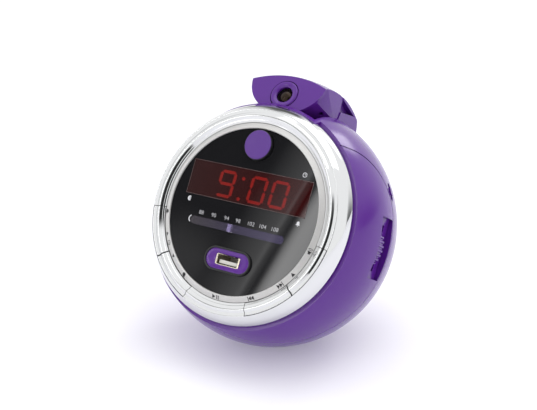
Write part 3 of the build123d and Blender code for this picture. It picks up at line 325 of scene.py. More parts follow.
# Radii of the ball in millimetres, and the face's lean backwards in degrees.
ball_radius, hollow_radius, pad_radius, groove_radius = 66.5, 64.3, 65.3, 65.9
face_lean, face_ahead = 29.2, 36
tilt = math.radians(face_lean)
face_normal = Vector((0, -math.cos(tilt), math.sin(tilt)))
face_up = Vector((0, math.sin(tilt), math.cos(tilt)))
ball_centre = Vector((0, 0, 64 * MM))
face_seat = Matrix.Translation(ball_centre + face_normal * face_ahead * MM) @ Matrix(
    (Vector((1, 0, 0)), face_up, face_normal)
).transposed().to_4x4()


def side_seat(place, elevation):
    """Seat for a side outline: its x runs ahead and up at an angle, its y across the clock."""
    lift = math.radians(elevation)
    ahead = Vector((0, -math.cos(lift), math.sin(lift)))
    above = Vector((0, math.sin(lift), math.cos(lift)))
    return Matrix.Translation(place) @ Matrix((ahead, Vector((1, 0, 0)), above)).transposed().to_4x4()


def prism(name, corners, low, high, seat):
    """An outline pushed out across the clock, from one side position to another."""
    piece = draw_section(name, corners)
    bpy.ops.transform.translate(value=(0, low * MM, 0))
    bpy.ops.mesh.extrude_region_move(TRANSFORM_OT_translate={"value": (0, (high - low) * MM, 0)})
    bpy.ops.mesh.select_all(action="SELECT")
    bpy.ops.mesh.remove_doubles(threshold=0.001 * MM)
    bpy.ops.mesh.normals_make_consistent(inside=False)
    bpy.ops.object.mode_set(mode="OBJECT")
    bpy.ops.object.transform_apply()
    settle(piece, seat)
    return piece


def ball(name, radius, place=ball_centre, segments=192):
    """A solid ball of quads."""
    bpy.ops.object.select_all(action="DESELECT")
    bpy.ops.mesh.primitive_uv_sphere_add(
        segments=segments, ring_count=segments // 2, radius=radius * MM, location=place
    )
    piece = bpy.context.object
    piece.name = name
    bpy.ops.object.transform_apply()
    return piece


def rectangle(x, z, width, height):
    """Corners of an upright rectangle about a middle."""
    return [(x - width / 2, z - height / 2), (x + width / 2, z - height / 2),
            (x + width / 2, z + height / 2), (x - width / 2, z + height / 2)]


def rod(name, radius, low, high, seat, sides=48):
    """A round rod along the seat's z."""
    bpy.ops.object.select_all(action="DESELECT")
    bpy.ops.mesh.primitive_cylinder_add(
        vertices=sides, radius=radius * MM, depth=(high - low) * MM, location=(0, 0, (high + low) / 2 * MM)
    )
    piece = bpy.context.object
    piece.name = name
    bpy.ops.object.transform_apply()
    settle(piece, seat)
    return piece


def arc_points(x, z, radius, first, last, steps=12):
    """Points on an arc about a middle, from one angle to another in degrees."""
    turns = [math.radians(first + (last - first) * k / steps) for k in range(steps + 1)]
    return [(x + radius * math.cos(t), z + radius * math.sin(t)) for t in turns]


def stadium(length, height):
    """Corners of a slot with round ends."""
    radius, straight = height / 2, (length - height) / 2
    return arc_points(straight, 0, radius, -90, 90, 24) + arc_points(-straight, 0, radius, 90, 270, 24)


# The well that the projector folds into: an arc ahead of the hinge and a round behind it.
hinge_place = Vector((0, 37, 109)) * MM


def well_corners(grow):
    """The well's side outline about the hinge, grown all round."""
    front, rear, below = 39.42 + grow, 16.6 + grow, 10.5 + grow
    start, last = math.degrees(math.asin(-below / front)), 360 - math.degrees(math.asin(below / rear))
    return arc_points(0, 0, front, start, 90, 40) + arc_points(0, 0, rear, 90, last, 40)


well_seat = side_seat(hinge_place, 15.7)
seam_seat = side_seat(ball_centre, face_lean)
base_seat = Matrix.Identity(4)

housing = ball("housing", ball_radius)
carve(housing, ball("hollow", hollow_radius, segments=96))
floor_plate = rod("floor_plate", 22.5, 1.5, 3.7, base_seat, 96)
carve(housing, floor_plate, "UNION")
for side in (-1, 1):
    low, high = sorted((side * 60.7, side * 66.0))
    pad = prism("pad", rectangle(-0.3, 0, 16.6, 35.8), low, high, seam_seat)
    carve(pad, ball("limit", pad_radius, segments=96), "INTERSECT")
    carve(housing, pad, "UNION")
well_walls = prism("well_walls", well_corners(2.4), -26.0, 26.0, well_seat)
carve(well_walls, ball("limit", ball_radius), "INTERSECT")
carve(housing, prism("rim_cut", rectangle(67, 0, 80, 160), -80, 80, seam_seat))
carve(housing, well_walls, "UNION")
carve(housing, prism("well", well_corners(0), -23.6, 23.6, well_seat))
carve(housing, prism("table_cut", rectangle(0, -38.5, 160, 80), -80, 80, side_seat(Vector((0, 0, 0)), 0)))
carve(housing, rod("cell_bay", 13.3, 0, 7.7, base_seat, 96))

# Loudspeaker slots, inlet and screw wells at the back.
speaker_radius, speaker_up, slot_step = 16, 66, 4.6
for row in range(-3, 4):
    length = 2 * math.sqrt(speaker_radius**2 - (row * slot_step) ** 2)
    slot_seat = Matrix.Translation((0, 0, (speaker_up + row * slot_step) * MM))
    carve(housing, prism("speaker_slot", stadium(length, 2), 55, 75, slot_seat))
back_seat = Matrix.Translation((24 * MM, 50.5 * MM, 30 * MM)) @ Matrix.Rotation(math.radians(-90), 4, "X")
carve(housing, rod("inlet_flat", 5.5, 0, 20, back_seat))
carve(housing, rod("inlet_hole", 4.15, -6, 1, back_seat))
pillar_radius = 55
for angle in (37, 143, 210, 330):
    turn = math.radians(angle)
    place = Matrix.Translation((pillar_radius * MM * math.cos(turn), pillar_radius * MM * math.sin(turn), 0))
    carve(housing, rod("screw_well", 3.6, -120, -66, face_seat @ place, 32))

# Recesses and slots for the two thumb wheels, and the slot for the slide switch.
for side in (-1, 1):
    low, high = sorted((side * 62.3, side * 70.0))
    recess = prism("recess", rectangle(-0.3, 0, 13.4, 32.6), low, high, seam_seat)
    carve(housing, recess)
    low, high = sorted((side * 55.0, side * 70.0))
    carve(housing, prism("slot", rectangle(1.3, 0, 6.6, 24.4), low, high, seam_seat))
switch_up, switch_back = 31.0, 8.0
switch_side = math.sqrt(ball_radius**2 - switch_up**2 - switch_back**2)
switch_out = (Vector((switch_side, 0, 0)) + face_up * switch_up - face_normal * switch_back).normalized()
switch_travel = (face_up - switch_out * face_up.dot(switch_out)).normalized()
switch_seat = Matrix.Translation(ball_centre + switch_out * ball_radius * MM) @ Matrix(
    (switch_travel, switch_out, switch_travel.cross(switch_out))
).transposed().to_4x4()
carve(housing, prism("switch_recess", stadium(10, 4.4), -1.2, 4, switch_seat))
carve(housing, prism("switch_slot", stadium(7, 2.2), -5, 1, switch_seat))

# The seam: a fine groove, straight behind the middle of the ball, curving forward over the top.
seam_points = [(9.29, -80), (-8, -30), (-8, 14.5)] + bow((-8, 14.5), (0.787, 35.713), (22, 44.5), 24) + [(80, 44.5)]
groove_points = [(x + 0.25, z - 0.25) for x, z in seam_points]
groove_points += [(x - 0.25, z + 0.25) for x, z in reversed(seam_points)]
groove = prism("groove", groove_points, -80, 80, seam_seat)
carve(groove, ball("limit", groove_radius, segments=96))
carve(groove, prism("well_keep", well_corners(2.4), -26, 26, well_seat))
carve(housing, groove)
rear_corners = seam_points + [(80, 80), (-80, 80), (-80, -80)]
rear_region = prism("rear_region", rear_corners, -80, 80, seam_seat)
carve(rear_region, prism("well_keep", well_corners(2.4), -26, 26, well_seat), "UNION")

bpy.ops.object.select_all(action="DESELECT")
housing.select_set(True)
bpy.context.view_layer.objects.active = housing
bpy.ops.object.duplicate()
rear_housing = bpy.context.object
rear_housing.name = "rear_housing"
bpy.ops.object.select_all(action="DESELECT")
rear_region.select_set(True)
bpy.context.view_layer.objects.active = rear_region
bpy.ops.object.duplicate()
carve(rear_housing, bpy.context.object, "INTERSECT")
front_housing = housing
front_housing.name = "front_housing"
carve(front_housing, rear_region)
for piece, node in ((front_housing, "front_shell"), (rear_housing, "rear_shell")):
    soften(piece, 0.25, 2, 35)
    dress(piece, abs_purple)
    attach(piece, "housing")
    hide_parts(node)

# ---- Ring ----------------------------------------------------------------------------------
# An ABS ring, vacuum-metallised to a mirror: a cone, a round rib, a valley and a rounded outer
# band. Its section is spun once round, and the places for the four rocker buttons are cut out.

metallised, metallised_shader, metallised_place = new_material("vacuum_metallised_abs")
metallised_shader.inputs["Base Color"].default_value = linear("#D9DADB")
metallised_shader.inputs["Metallic"].default_value = 1.0
metallised_shader.inputs["Roughness"].default_value = 0.07
# Faint waves every 14 mm or so in the moulding bend what the mirror shows.
metallised_waves = add_node(metallised, "ShaderNodeTexNoise", {"Scale": 70.0}, {"Vector": metallised_place})
surface(metallised, metallised_waves.outputs["Fac"], relief=(0.05, 0.0004))


def run(*corners):
    """Straight runs of an outline, with points close to their ends to keep the shading true."""
    points = []
    for (ax, az), (bx, bz) in zip(corners, corners[1:]):
        points += [(ax + (bx - ax) * k, az + (bz - az) * k) for k in (0.1, 0.9, 1)]
    return points


# From the inside: a turned cone with a fine step in it, a round rib, and a shallow valley.
ribs = (
    run((48.1, -0.27), (48.75, 0.15), (48.95, 0.18), (50.1, 0.92))
    + bow((50.1, 0.92), (50.94, 1.19), (51.8, 0.98), 8) + run((51.8, 0.98), (52.6, 0.46), (54.15, 0.86))
)
ring_corners = (
    [(47.5, -2.0), (47.5, -0.6)] + bow((47.5, -0.6), (47.53, -0.47), (47.62, -0.42), 4)
    + run((47.62, -0.42), (48.1, -0.27)) + ribs + bow((54.15, 0.86), (54.5, 0.85), (54.78, 0.62), 8)
    + bow((54.78, 0.62), (56.55, -1.35), (58.0, -3.8), 14)
    + bow((58.0, -3.8), (58.75, -6.35), (59.2, -9.0), 10) + [(57.0, -9.0), (56.3, -3.8), (56.3, -2.0)]
)
ring = spin_section("mirror_ring", ring_corners)
# Where the buttons begin on either side, round the ring in degrees, and how far a pair reaches.
right_start, left_start, pair_reach = -70.5, -172.2, 60.5
for start in (right_start, left_start):
    gap = spin_section("gap", [(47.0, -3), (54.6, -3), (54.6, 4), (47.0, 4)], pair_reach, 48, start)
    carve(ring, gap)
soften(ring, 0)
settle(ring, face_seat)
dress(ring, metallised)
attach(ring, "housing")
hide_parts("chrome_bezel")

# ---- Rocker buttons ------------------------------------------------------------------------
# Four metallised rockers fill the gaps in the ring and carry on its ribs. One is spun through
# its own angle and copied round.
rocker_corners = (
    [(47.75, -1.2), (47.75, -0.48)] + bow((47.75, -0.48), (47.77, -0.4), (47.85, -0.35), 3)
    + run((47.85, -0.35), (48.1, -0.27)) + ribs + bow((54.15, 0.86), (54.26, 0.82), (54.3, 0.72), 4) + [(54.3, -1.2)]
)
rocker_starts = {
    "right_upper": right_start + 30.3, "right_lower": right_start,
    "left_upper": left_start, "left_lower": left_start + 30.3,
}
rocker_reach, rocker_gap = 29.5, 0.35
for body, start in rocker_starts.items():
    rocker = spin_section(body + "_rocker", rocker_corners, rocker_reach, 32, start + rocker_gap)
    soften(rocker, 0)
    settle(rocker, face_seat)
    dress(rocker, metallised)
    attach(rocker, body)
    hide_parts(body + "_button")

# ---- Lettering band ------------------------------------------------------------------------
# A sloping ABS ring between the glass and the mirror ring, sprayed in satin silver. Small signs
# are pad-printed on it in black. The snooze button's hole takes a bite out of its top.
silver_paint, silver_shader, silver_place = new_material("satin_silver_sprayed_abs")
# Aluminium flakes lie every 0.3 mm or so and give the paint its soft, slightly grainy shine.
flakes = add_node(silver_paint, "ShaderNodeTexVoronoi", {"Scale": 3300.0}, {"Vector": silver_place})
silver_shader.inputs["Metallic"].default_value = 0.3
surface(silver_paint, flakes.outputs["Distance"], ("#C6C5C4", "#D2D1CF"), (0.34, 0.44))

snooze_up = 35.3
snooze_seat = face_seat @ Matrix.Translation((0, snooze_up * MM, 0))
band_section = [(44.1, -2.0), (44.1, 0.45), (44.5, 0.8), (47.3, -0.6), (47.3, -2.0)]
band = spin_section("lettering_band", band_section)
settle(band, face_seat)
carve(band, rod("snooze_hole", 8.5, -4, 4, snooze_seat, 96))
soften(band, 0.12)
dress(band, silver_paint)
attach(band, "housing")
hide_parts("lettering_ring")


def printing_ink(name, hex_colour):
    """Pad-printing ink: a flat coat, a little uneven where the pad pressed it down."""
    ink, shader, place = new_material(name)
    shader.inputs["Base Color"].default_value = linear(hex_colour)
    pressed = add_node(ink, "ShaderNodeTexNoise", {"Scale": 2500.0}, {"Vector": place})
    surface(ink, pressed.outputs["Fac"], roughness=(0.35, 0.55))
    return ink


black_ink = printing_ink("black_pad_ink", "#1A191C")
# The white ink also makes the painted glint at the scale's end.
white_ink_and_painted_glint = printing_ink("white_screen_ink_and_glint", "#D6D6DA")


def upright(side, up, height=0.0, turn=0.0, slope=0.0):
    """Seat for an outline drawn upright: its x and z lie on the face, its y points in."""
    place = face_seat @ Matrix.Translation((side * MM, up * MM, height * MM))
    return place @ Matrix.Rotation(math.radians(turn), 4, "Z") @ Matrix.Rotation(math.radians(slope - 90), 4, "X")


def printed(name, outlines, seat, ink, thickness=0.03):
    """Thin coats, one for each outline, joined into one piece: the printed signs, the lit digits, the painted glint
    at the scale's end and the pointer's painted glow.
    """
    coats = [prism(name, corners, -thickness, 0.01, seat) for corners in outlines]
    bpy.ops.object.select_all(action="DESELECT")
    for coat in coats:
        coat.select_set(True)
    bpy.context.view_layer.objects.active = coats[0]
    if len(coats) > 1:
        bpy.ops.object.join()
    sign = bpy.context.object
    sign.name = name
    dress(sign, ink)
    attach(sign, "housing")
    return sign


def resized(outlines, scale):
    """The same outlines at another size."""
    return [[(x * scale, z * scale) for x, z in corners] for corners in outlines]


skip_back = [rectangle(-1.25, 0, 0.26, 1.7), [(-1.1, 0), (0, -0.85), (0, 0.85)], [(0, 0), (1.1, -0.85), (1.1, 0.85)]]
skip_ahead = [[(-x, z) for x, z in reversed(corners)] for corners in skip_back]
play_pause = [[(-1.5, -0.8), (-0.2, 0), (-1.5, 0.8)], rectangle(0.45, 0, 0.32, 1.6), rectangle(1.15, 0, 0.32, 1.6)]
up_sign = [[(-0.8, -0.6), (0.8, -0.6), (0, 0.8)]]
down_sign = [[(-0.8, 0.6), (0, -0.8), (0.8, 0.6)]]
loud_sign = [
    [(-1.3, -0.4), (-0.8, -0.4), (-0.2, -0.95), (-0.2, 0.95), (-0.8, 0.4), (-1.3, 0.4)],
    arc_points(-0.3, 0, 0.75, -50, 50) + arc_points(-0.3, 0, 0.55, 50, -50),
    arc_points(-0.3, 0, 1.25, -50, 50) + arc_points(-0.3, 0, 1.05, 50, -50),
]
bell_sign = [
    [(-1.0, -0.62), (1.0, -0.62), (0.68, -0.2)] + arc_points(0, 0.35, 0.66, 0, 180, 10) + [(-0.68, -0.2)],
    rectangle(0, -0.92, 0.5, 0.3),
]
moon_sign = [arc_points(0, 0, 1.0, 60, 300, 20) + arc_points(0.62, 0, 0.88, 262, 98, 16)]
clock_sign = [
    arc_points(0, 0, 0.95, 91, 449, 28) + arc_points(0, 0, 0.72, 449, 91, 28),
    rectangle(0, 0.24, 0.18, 0.5), rectangle(0.2, 0, 0.5, 0.18),
]

# Where each sign stands round the band, in degrees, on the slope of the band.
band_slope, band_middle, sign_scale = 26.6, 45.9, 1.4
for angle, sign_name, outlines in (
    (-168.9, "bell", bell_sign), (-153.5, "up", up_sign), (-147, "clock", clock_sign), (-137, "down", down_sign),
    (-121, "moon", moon_sign), (-91.7, "play_pause", play_pause), (-65.5, "skip_back", skip_back),
    (-44, "skip_ahead", skip_ahead), (-33.1, "band_up", up_sign), (-14.7, "loud", loud_sign),
):
    x, z = band_middle * math.cos(math.radians(angle)), band_middle * math.sin(math.radians(angle))
    printed("sign_" + sign_name, resized(outlines, sign_scale), upright(x, z, 0.1, angle + 90, band_slope), black_ink)

# ---- Face glass ----------------------------------------------------------------------------
# A disc of clear acrylic, 2 mm thick, printed black behind: deep black with mirror-like gloss.
# The numbers, a moon, a bell and a clock are screen-printed on its front in white.
acrylic, acrylic_shader, acrylic_place = new_material("back_printed_black_acrylic")
acrylic_shader.inputs["Base Color"].default_value = linear("#1A1A1C")
acrylic_shader.inputs["IOR"].default_value = 1.49
# Wiping leaves clouds of haze about 30 mm across.
acrylic_haze = add_node(acrylic, "ShaderNodeTexNoise", {"Scale": 30.0, "Detail": 3.0}, {"Vector": acrylic_place})
surface(acrylic, acrylic_haze.outputs["Fac"], roughness=(0.015, 0.04))
dress(nodes["dial_glass"], acrylic)


def number(text, side, up, height):
    """A printed number, standing on a baseline."""
    bpy.ops.object.select_all(action="DESELECT")
    bpy.ops.object.text_add(location=(0, 0, 0))
    piece = bpy.context.object
    piece.name = "number_" + text
    piece.data.body = text
    piece.data.align_x = "CENTER"
    piece.data.align_y = "BOTTOM_BASELINE"
    piece.data.size = height / 0.69 * MM
    piece.data.space_character = 1.05
    piece.data.extrude = 0.015 * MM
    piece.data.offset = -0.05 * MM
    bpy.ops.object.convert(target="MESH")
    bpy.ops.object.transform_apply()
    settle(piece, face_seat @ Matrix.Translation((side * MM, up * MM, 0.015 * MM)))
    dress(piece, white_ink_and_painted_glint)
    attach(piece, "housing")


scale_numbers = {"88": -23.8, "90": -15.9, "94": -7.7, "98": -0.6, "102": 7.3, "104": 14.4, "108": 21.7}
for text, side in scale_numbers.items():
    number(text, side, -6.3, 2.05)
printed("sign_sleep", resized(moon_sign, 1.35), upright(-33.3, 0.7), white_ink_and_painted_glint)
printed("sign_auto", resized(clock_sign, 1.35), upright(30.4, 24.9), white_ink_and_painted_glint)
printed("sign_alarm", resized(bell_sign, 1.2), upright(33.8, 0.1), white_ink_and_painted_glint)
# Painted highlight: a white crescent at the left end of the scale's window stands in for the glint on that end.
scale_end_glint_outline = arc_points(0.9, 0, 2.0, 115, 245, 14) + arc_points(1.35, 0, 1.85, 240, 120, 14)
printed("scale_end_painted_glint", [scale_end_glint_outline], upright(-29.6, -9.6), white_ink_and_painted_glint)

# ---- Display -------------------------------------------------------------------------------
# A smoked red acrylic filter is let into the glass. Behind it stand the lit strokes of a
# seven-segment display, on the dark face of their module.
filter_red, filter_shader, filter_place = new_material("smoked_red_acrylic")
filter_parts = add_node(filter_red, "ShaderNodeSeparateXYZ", {}, {"Vector": filter_place})
# The smoke in the acrylic is browner on the left and a clearer red on the right.
filter_ends = {"From Min": -36 * MM, "From Max": 36 * MM}
filter_run = add_node(filter_red, "ShaderNodeMapRange", filter_ends, {"Value": filter_parts.outputs["X"]})
surface(filter_red, filter_run.outputs["Result"], ("#4E3434", "#4A1214"))
filter_shader.inputs["IOR"].default_value = 1.49
filter_shader.inputs["Roughness"].default_value = 0.0
filter_shader.inputs["Specular IOR Level"].default_value = 0.1
filter_shader.inputs["Transmission Weight"].default_value = 0.55
dress(nodes["display_filter"], filter_red)

window_up, window_width, window_height = 12.8, 73.407, 18.9
window_seat = upright(0, window_up)
# Painted highlight: a thin frame of lighter brown round the filter stands in for the light that the filter's edge
# catches.
edge = prism("painted_highlight_rim", rectangle(0, 0, window_width - 0.1, window_height - 0.1), -0.04, 0.1, window_seat)
carve(edge, prism("inside", rectangle(0, 0, window_width - 0.6, window_height - 0.6), -1, 1, window_seat))
filter_rim_painted_highlight, filter_rim_highlight_shader, edge_place = new_material("painted_highlight_filter_rim")
filter_rim_highlight_shader.inputs["Base Color"].default_value = linear("#4C3A3A")
edge_grain = add_node(filter_rim_painted_highlight, "ShaderNodeTexNoise", {"Scale": 800.0}, {"Vector": edge_place})
surface(filter_rim_painted_highlight, edge_grain.outputs["Fac"], roughness=(0.2, 0.35))
dress(edge, filter_rim_painted_highlight)
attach(edge, "housing")

# Light leaves a stroke a little unevenly, because two chips light each one from below.
lit_red, lit_shader, lit_place = new_material("lit_epoxy_segment")
lit_spots = add_node(lit_red, "ShaderNodeTexNoise", {"Scale": 260.0, "Detail": 1.0}, {"Vector": lit_place})
lit_limits = {"To Min": 8.0, "To Max": 10.5}
lit_power = add_node(lit_red, "ShaderNodeMapRange", lit_limits, {"Value": lit_spots.outputs["Fac"]})
lit_shader.inputs["Base Color"].default_value = linear("#7A1410")
lit_shader.inputs["Roughness"].default_value = 0.4
lit_shader.inputs["Emission Color"].default_value = linear("#FF5B48")
lit_red.node_tree.links.new(lit_power.outputs["Result"], lit_shader.inputs["Emission Strength"])

# Strokes of the digits: hexagons that stand a little apart, and two round dots between them.
digit_half_wide, digit_half_high, stroke_width, stroke_part, digit_lean = 4.27, 6.5, 1.55, 0.5, 0.035
stroke_spots = {
    "a": (0, 1, 0), "g": (0, 0, 0), "d": (0, -1, 0),
    "f": (-1, 0.5, 1), "b": (1, 0.5, 1), "e": (-1, -0.5, 1), "c": (1, -0.5, 1),
}
strokes = []
for digit_side, lit in ((-15.2, "abcdfg"), (4.35, "abcdef"), (17.4, "abcdef")):
    for letter in lit:
        side, up, standing = stroke_spots[letter]
        x, z = digit_side + side * digit_half_wide, up * digit_half_high
        tip = (digit_half_high / 2 if standing else digit_half_wide) - stroke_part / 2
        half = stroke_width / 2
        neck = tip - half
        hexagon = [(-tip, 0), (-neck, -half), (neck, -half), (tip, 0), (neck, half), (-neck, half)]
        corners = [(x - b, z + a) if standing else (x + a, z + b) for a, b in hexagon]
        strokes.append([(side + up * digit_lean, up) for side, up in corners])
strokes += [arc_points(-5.6, z, 0.9, 0, 345, 23) for z in (4.5, -6.5)]
digits = printed("lit_digits", strokes, upright(0, 12.4, -3.4), lit_red, 0.35)
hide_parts("lit_segments")

# ---- Tuning scale --------------------------------------------------------------------------
# A slot of smoked lilac acrylic under the numbers. A white nylon pointer slides behind it on a
# steel rail.
scale_down = 9.9
lilac, lilac_shader, lilac_place = new_material("smoked_lilac_acrylic")
lilac_parts = add_node(lilac, "ShaderNodeSeparateXYZ", {}, {"Vector": lilac_place})
lilac_ends = {"From Min": -29 * MM, "From Max": 20 * MM}
lilac_run = add_node(lilac, "ShaderNodeMapRange", lilac_ends, {"Value": lilac_parts.outputs["X"]})
surface(lilac, lilac_run.outputs["Result"], ("#5C585E", "#4A4266"))
lilac_shader.inputs["IOR"].default_value = 1.49
lilac_shader.inputs["Roughness"].default_value = 0.04
lilac_shader.inputs["Transmission Weight"].default_value = 0.45
dress(nodes["scale_window"], lilac)


def moulded(name, dark, light, roughness, grain=0.35, depth=0.05):
    """A moulded plastic: two close tones that flow, and an eroded surface of a given grain in mm."""
    plastic, shader, place = new_material(name)
    flow = add_node(plastic, "ShaderNodeTexNoise", {"Scale": 70.0, "Detail": 3.0}, {"Vector": place})
    skin = add_node(plastic, "ShaderNodeTexNoise", {"Scale": 1000 / grain}, {"Vector": place})
    rough = (roughness * 0.85, roughness * 1.15)
    surface(plastic, flow.outputs["Fac"], (dark, light))
    surface(plastic, skin.outputs["Fac"], roughness=rough, relief=(0.3, depth * MM))
    return plastic


white_nylon = moulded("moulded_white_nylon", "#D2D0CB", "#E4E2DE", 0.42)
# Painted light: the pointer's line glows by itself, with no lamp behind it, so that it shows bright through the
# smoked window.
pointer_painted_glow = moulded("white_nylon_painted_glow", "#D2D0CB", "#E4E2DE", 0.42)
pointer_painted_glow_shader = pointer_painted_glow.node_tree.nodes["Principled BSDF"]
pointer_painted_glow_shader.inputs["Emission Color"].default_value = linear("#F0ECFF")
pointer_painted_glow_shader.inputs["Emission Strength"].default_value = 12.0
dress(nodes["tuning_pointer"], white_nylon)
pointer_line = printed("pointer_line", [rectangle(-5.8, 0, 2.2, 4.0)], upright(0, -scale_down, -2.3), pointer_painted_glow)
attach(pointer_line, "pointer")

# ---- Snooze button -------------------------------------------------------------------------
# A push button: a purple ABS cap, slightly dished, glued on a black stem whose edge shows as a
# black line all round it. The stem reaches through to a small switch.
satin_purple, satin_shader, satin_place = new_material("satin_purple_abs")
# Spark-eroded grain of about 0.12 mm breaks up the gloss of the moulded cap.
satin_flow = add_node(satin_purple, "ShaderNodeTexNoise", {"Scale": 60.0, "Detail": 3.0}, {"Vector": satin_place})
satin_grain = add_node(satin_purple, "ShaderNodeTexNoise", {"Scale": 8000.0}, {"Vector": satin_place})
surface(satin_purple, satin_flow.outputs["Fac"], ("#4E1E81", "#542287"))
surface(satin_purple, satin_grain.outputs["Fac"], relief=(0.25, 0.00004))
satin_shader.inputs["Roughness"].default_value = 0.42
satin_shader.inputs["IOR"].default_value = 1.54

snooze_stem = [(0, -5.2), (2.4, -5.2), (2.4, -0.6), (8.0, -0.6), (8.0, 1.75)]
snooze_stem += bow((8.0, 1.75), (7.94, 1.89), (7.8, 1.95), 4) + [(0, 1.6)]
snooze_rim = [(0, 1.5), (7.75, 1.7), (7.75, 1.95)] + bow((7.75, 1.95), (7.648, 2.198), (7.4, 2.3), 6) + [(6.8, 2.3)]
snooze_dish = bow((6.8, 2.3), (3.4, 2.0375), (0, 1.95), 10)
black_abs = moulded("moulded_black_abs", "#101012", "#17171A", 0.45)
for name, section, material in (
    ("snooze_stem", snooze_stem, black_abs), ("snooze_cap", snooze_rim + snooze_dish, satin_purple),
):
    piece = spin_section(name, section)
    soften(piece, 0)
    settle(piece, snooze_seat)
    dress(piece, material)
    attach(piece, "snooze")
    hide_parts("snooze_button")

# ---- Media socket --------------------------------------------------------------------------
# A purple surround, dished towards a nickel-plated socket with a white tongue, in a black
# rubber gasket that stands a little above the glass.
usb_down = 26.6
surround_seat = upright(0, -usb_down)


surround = prism("socket_surround", stadium(25.9, 10.6), -0.9, 2.0, surround_seat)
dish_steps = ((0.9, 0.0), (0.7, 0.06), (0.8, 0.22), (0.8, 0.42), (0.8, 0.6), (0.6, 0.68))
bpy.ops.object.select_all(action="DESELECT")
surround.select_set(True)
bpy.context.view_layer.objects.active = surround
bpy.ops.object.mode_set(mode="EDIT")
bpy.ops.mesh.select_mode(type="FACE")
bpy.ops.mesh.select_all(action="DESELECT")
bpy.ops.object.mode_set(mode="OBJECT")
end_faces = [face for face in surround.data.polygons if len(face.vertices) > 8]
max(end_faces, key=lambda face: face.center.dot(face_normal)).select = True
bpy.ops.object.mode_set(mode="EDIT")
sunk = 0.0
for inward, depth in dish_steps:
    bpy.ops.mesh.inset(thickness=inward * MM, depth=0)
    bpy.ops.transform.translate(value=-face_normal * (depth - sunk) * MM)
    sunk = depth
bpy.ops.mesh.select_mode(type="VERT")
bpy.ops.object.mode_set(mode="OBJECT")
carve(surround, prism("socket_hole", rectangle(0, 0, 13.2, 5.8), -3, 3, surround_seat))
soften(surround, 0.1, 2, 40)
dress(surround, abs_purple)
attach(surround, "housing")
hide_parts("usb_surround")

rubber = moulded("moulded_black_rubber", "#101012", "#18181A", 0.5, 0.25, 0.04)
dress(nodes["usb_gasket"], rubber)
dress(nodes["usb_tongue"], white_nylon)


def plated(name, dark, light, roughness, streak_mm, wear=0.02):
    """A plated metal: rolling marks along X at a given spacing, and a slight unevenness of tone."""
    metal, shader, place = new_material(name)
    squeeze = 12
    stretch = add_node(metal, "ShaderNodeMapping", {"Scale": (1.0, squeeze, squeeze)}, {"Vector": place})
    waves = {"Scale": 1000 / streak_mm / squeeze, "Detail": 3.0}
    marks = add_node(metal, "ShaderNodeTexNoise", waves, {"Vector": stretch.outputs["Vector"]})
    shader.inputs["Metallic"].default_value = 1.0
    rough = (roughness * 0.7, roughness * 1.3)
    surface(metal, marks.outputs["Fac"], (dark, light), rough, (0.2, wear * MM))
    return metal


nickel = plated("nickel_plated_brass", "#B9AF9D", "#D8CFBE", 0.22, 0.15)
dress(nodes["usb_shell"], nickel)

# ---- Projector -----------------------------------------------------------------------------
# A purple ABS head that folds down into the well. Its top is struck to the ball's curve, flat
# facets narrow it to a keel below, and a front plate is glued on, with the focus ring in it.
lens_degrees = 43
lens_elevation = math.radians(lens_degrees)
lens_direction = Vector((0, -math.cos(lens_elevation), math.sin(lens_elevation)))
plate_up = Vector((0, math.sin(lens_elevation), math.cos(lens_elevation)))
across = Vector((1, 0, 0))
head_seat = side_seat(hinge_place, lens_degrees)
lens_seat = Matrix.Translation(hinge_place) @ Matrix((across, -lens_direction, plate_up)).transposed().to_4x4()
optic_seat = Matrix.Translation(hinge_place) @ Matrix((across, plate_up, lens_direction)).transposed().to_4x4()

# The head from the side, ahead of the hinge and above it; its skin; and the front's half outline.
head_sides = [(-12.5, 0), (-6, -9.5), (38, -9.5), (38, 30), (14, 30), (14, 20)]
head_sides += bow((14, 20), (-4.5, 14.3), (-12.5, 0), 24)[:-1]
skin_radius = 65.2
skin_centre = hinge_place + (lens_direction * 8 - plate_up * 47) * MM
plate_front, plate_back, side_inset = 37.3, 35.5, 22.15
shoulder, keel_edge, keel_low, keel_foot = (22.8, 8.5), (19.4, -0.9), (11.6, -8.3), (9.0, -9.5)


def head_layer(name, half, front, back):
    """A layer of the head: its outline pushed back, cut to the side view and to the ball's curve."""
    layer = prism(name, half + [(-x, z) for x, z in reversed(half)], front, back, lens_seat)
    carve(layer, prism("side_outline", head_sides, -30, 30, head_seat), "INTERSECT")
    carve(layer, ball("skin", skin_radius, skin_centre), "INTERSECT")
    return layer


def head_point(side, across, ahead, up):
    """A place on the head, from the hinge: across the clock, along the lens and above it."""
    return hinge_place + (lens_direction * ahead + plate_up * up + Vector((side * across, 0, 0))) * MM


# The body is a block: a low cheek each side, with a flat facet and a wide keel cut under it. The
# plate in front of it has a round outline.
head = head_layer("projector_head", [(22.7, 24), (22.7, -9.5)], -plate_back, 30)
for side in (-1, 1):
    low, high = sorted((side * side_inset, side * 30))
    cheek = [(13.8, -30), (13.8, 6.0), (16.2, 13.4), (16.2, 30), (40, 30), (40, -30)]
    carve(head, prism("cheek", cheek, low, high, head_seat))
    rear_corner = head_point(side, side_inset, 20.6, -1.2)
    edge_corner = head_point(side, keel_edge[0], plate_back, keel_edge[1])
    for third in (keel_low, (side_inset, shoulder[1])):
        corner = head_point(side, third[0], plate_back, third[1])
        facet = (corner - edge_corner).cross(rear_corner - edge_corner).normalized()
        if facet.x * side < 0:
            facet.negate()
        facet_seat = Matrix.Translation(edge_corner) @ facet.to_track_quat("Z", "Y").to_matrix().to_4x4()
        carve(head, rod("facet", 80, 0, 60, facet_seat, 24))
plate_arc = bow(shoulder, (19.8, -1.2), keel_low, 14) + bow(keel_low, (10.5, -9.1), keel_foot, 4)
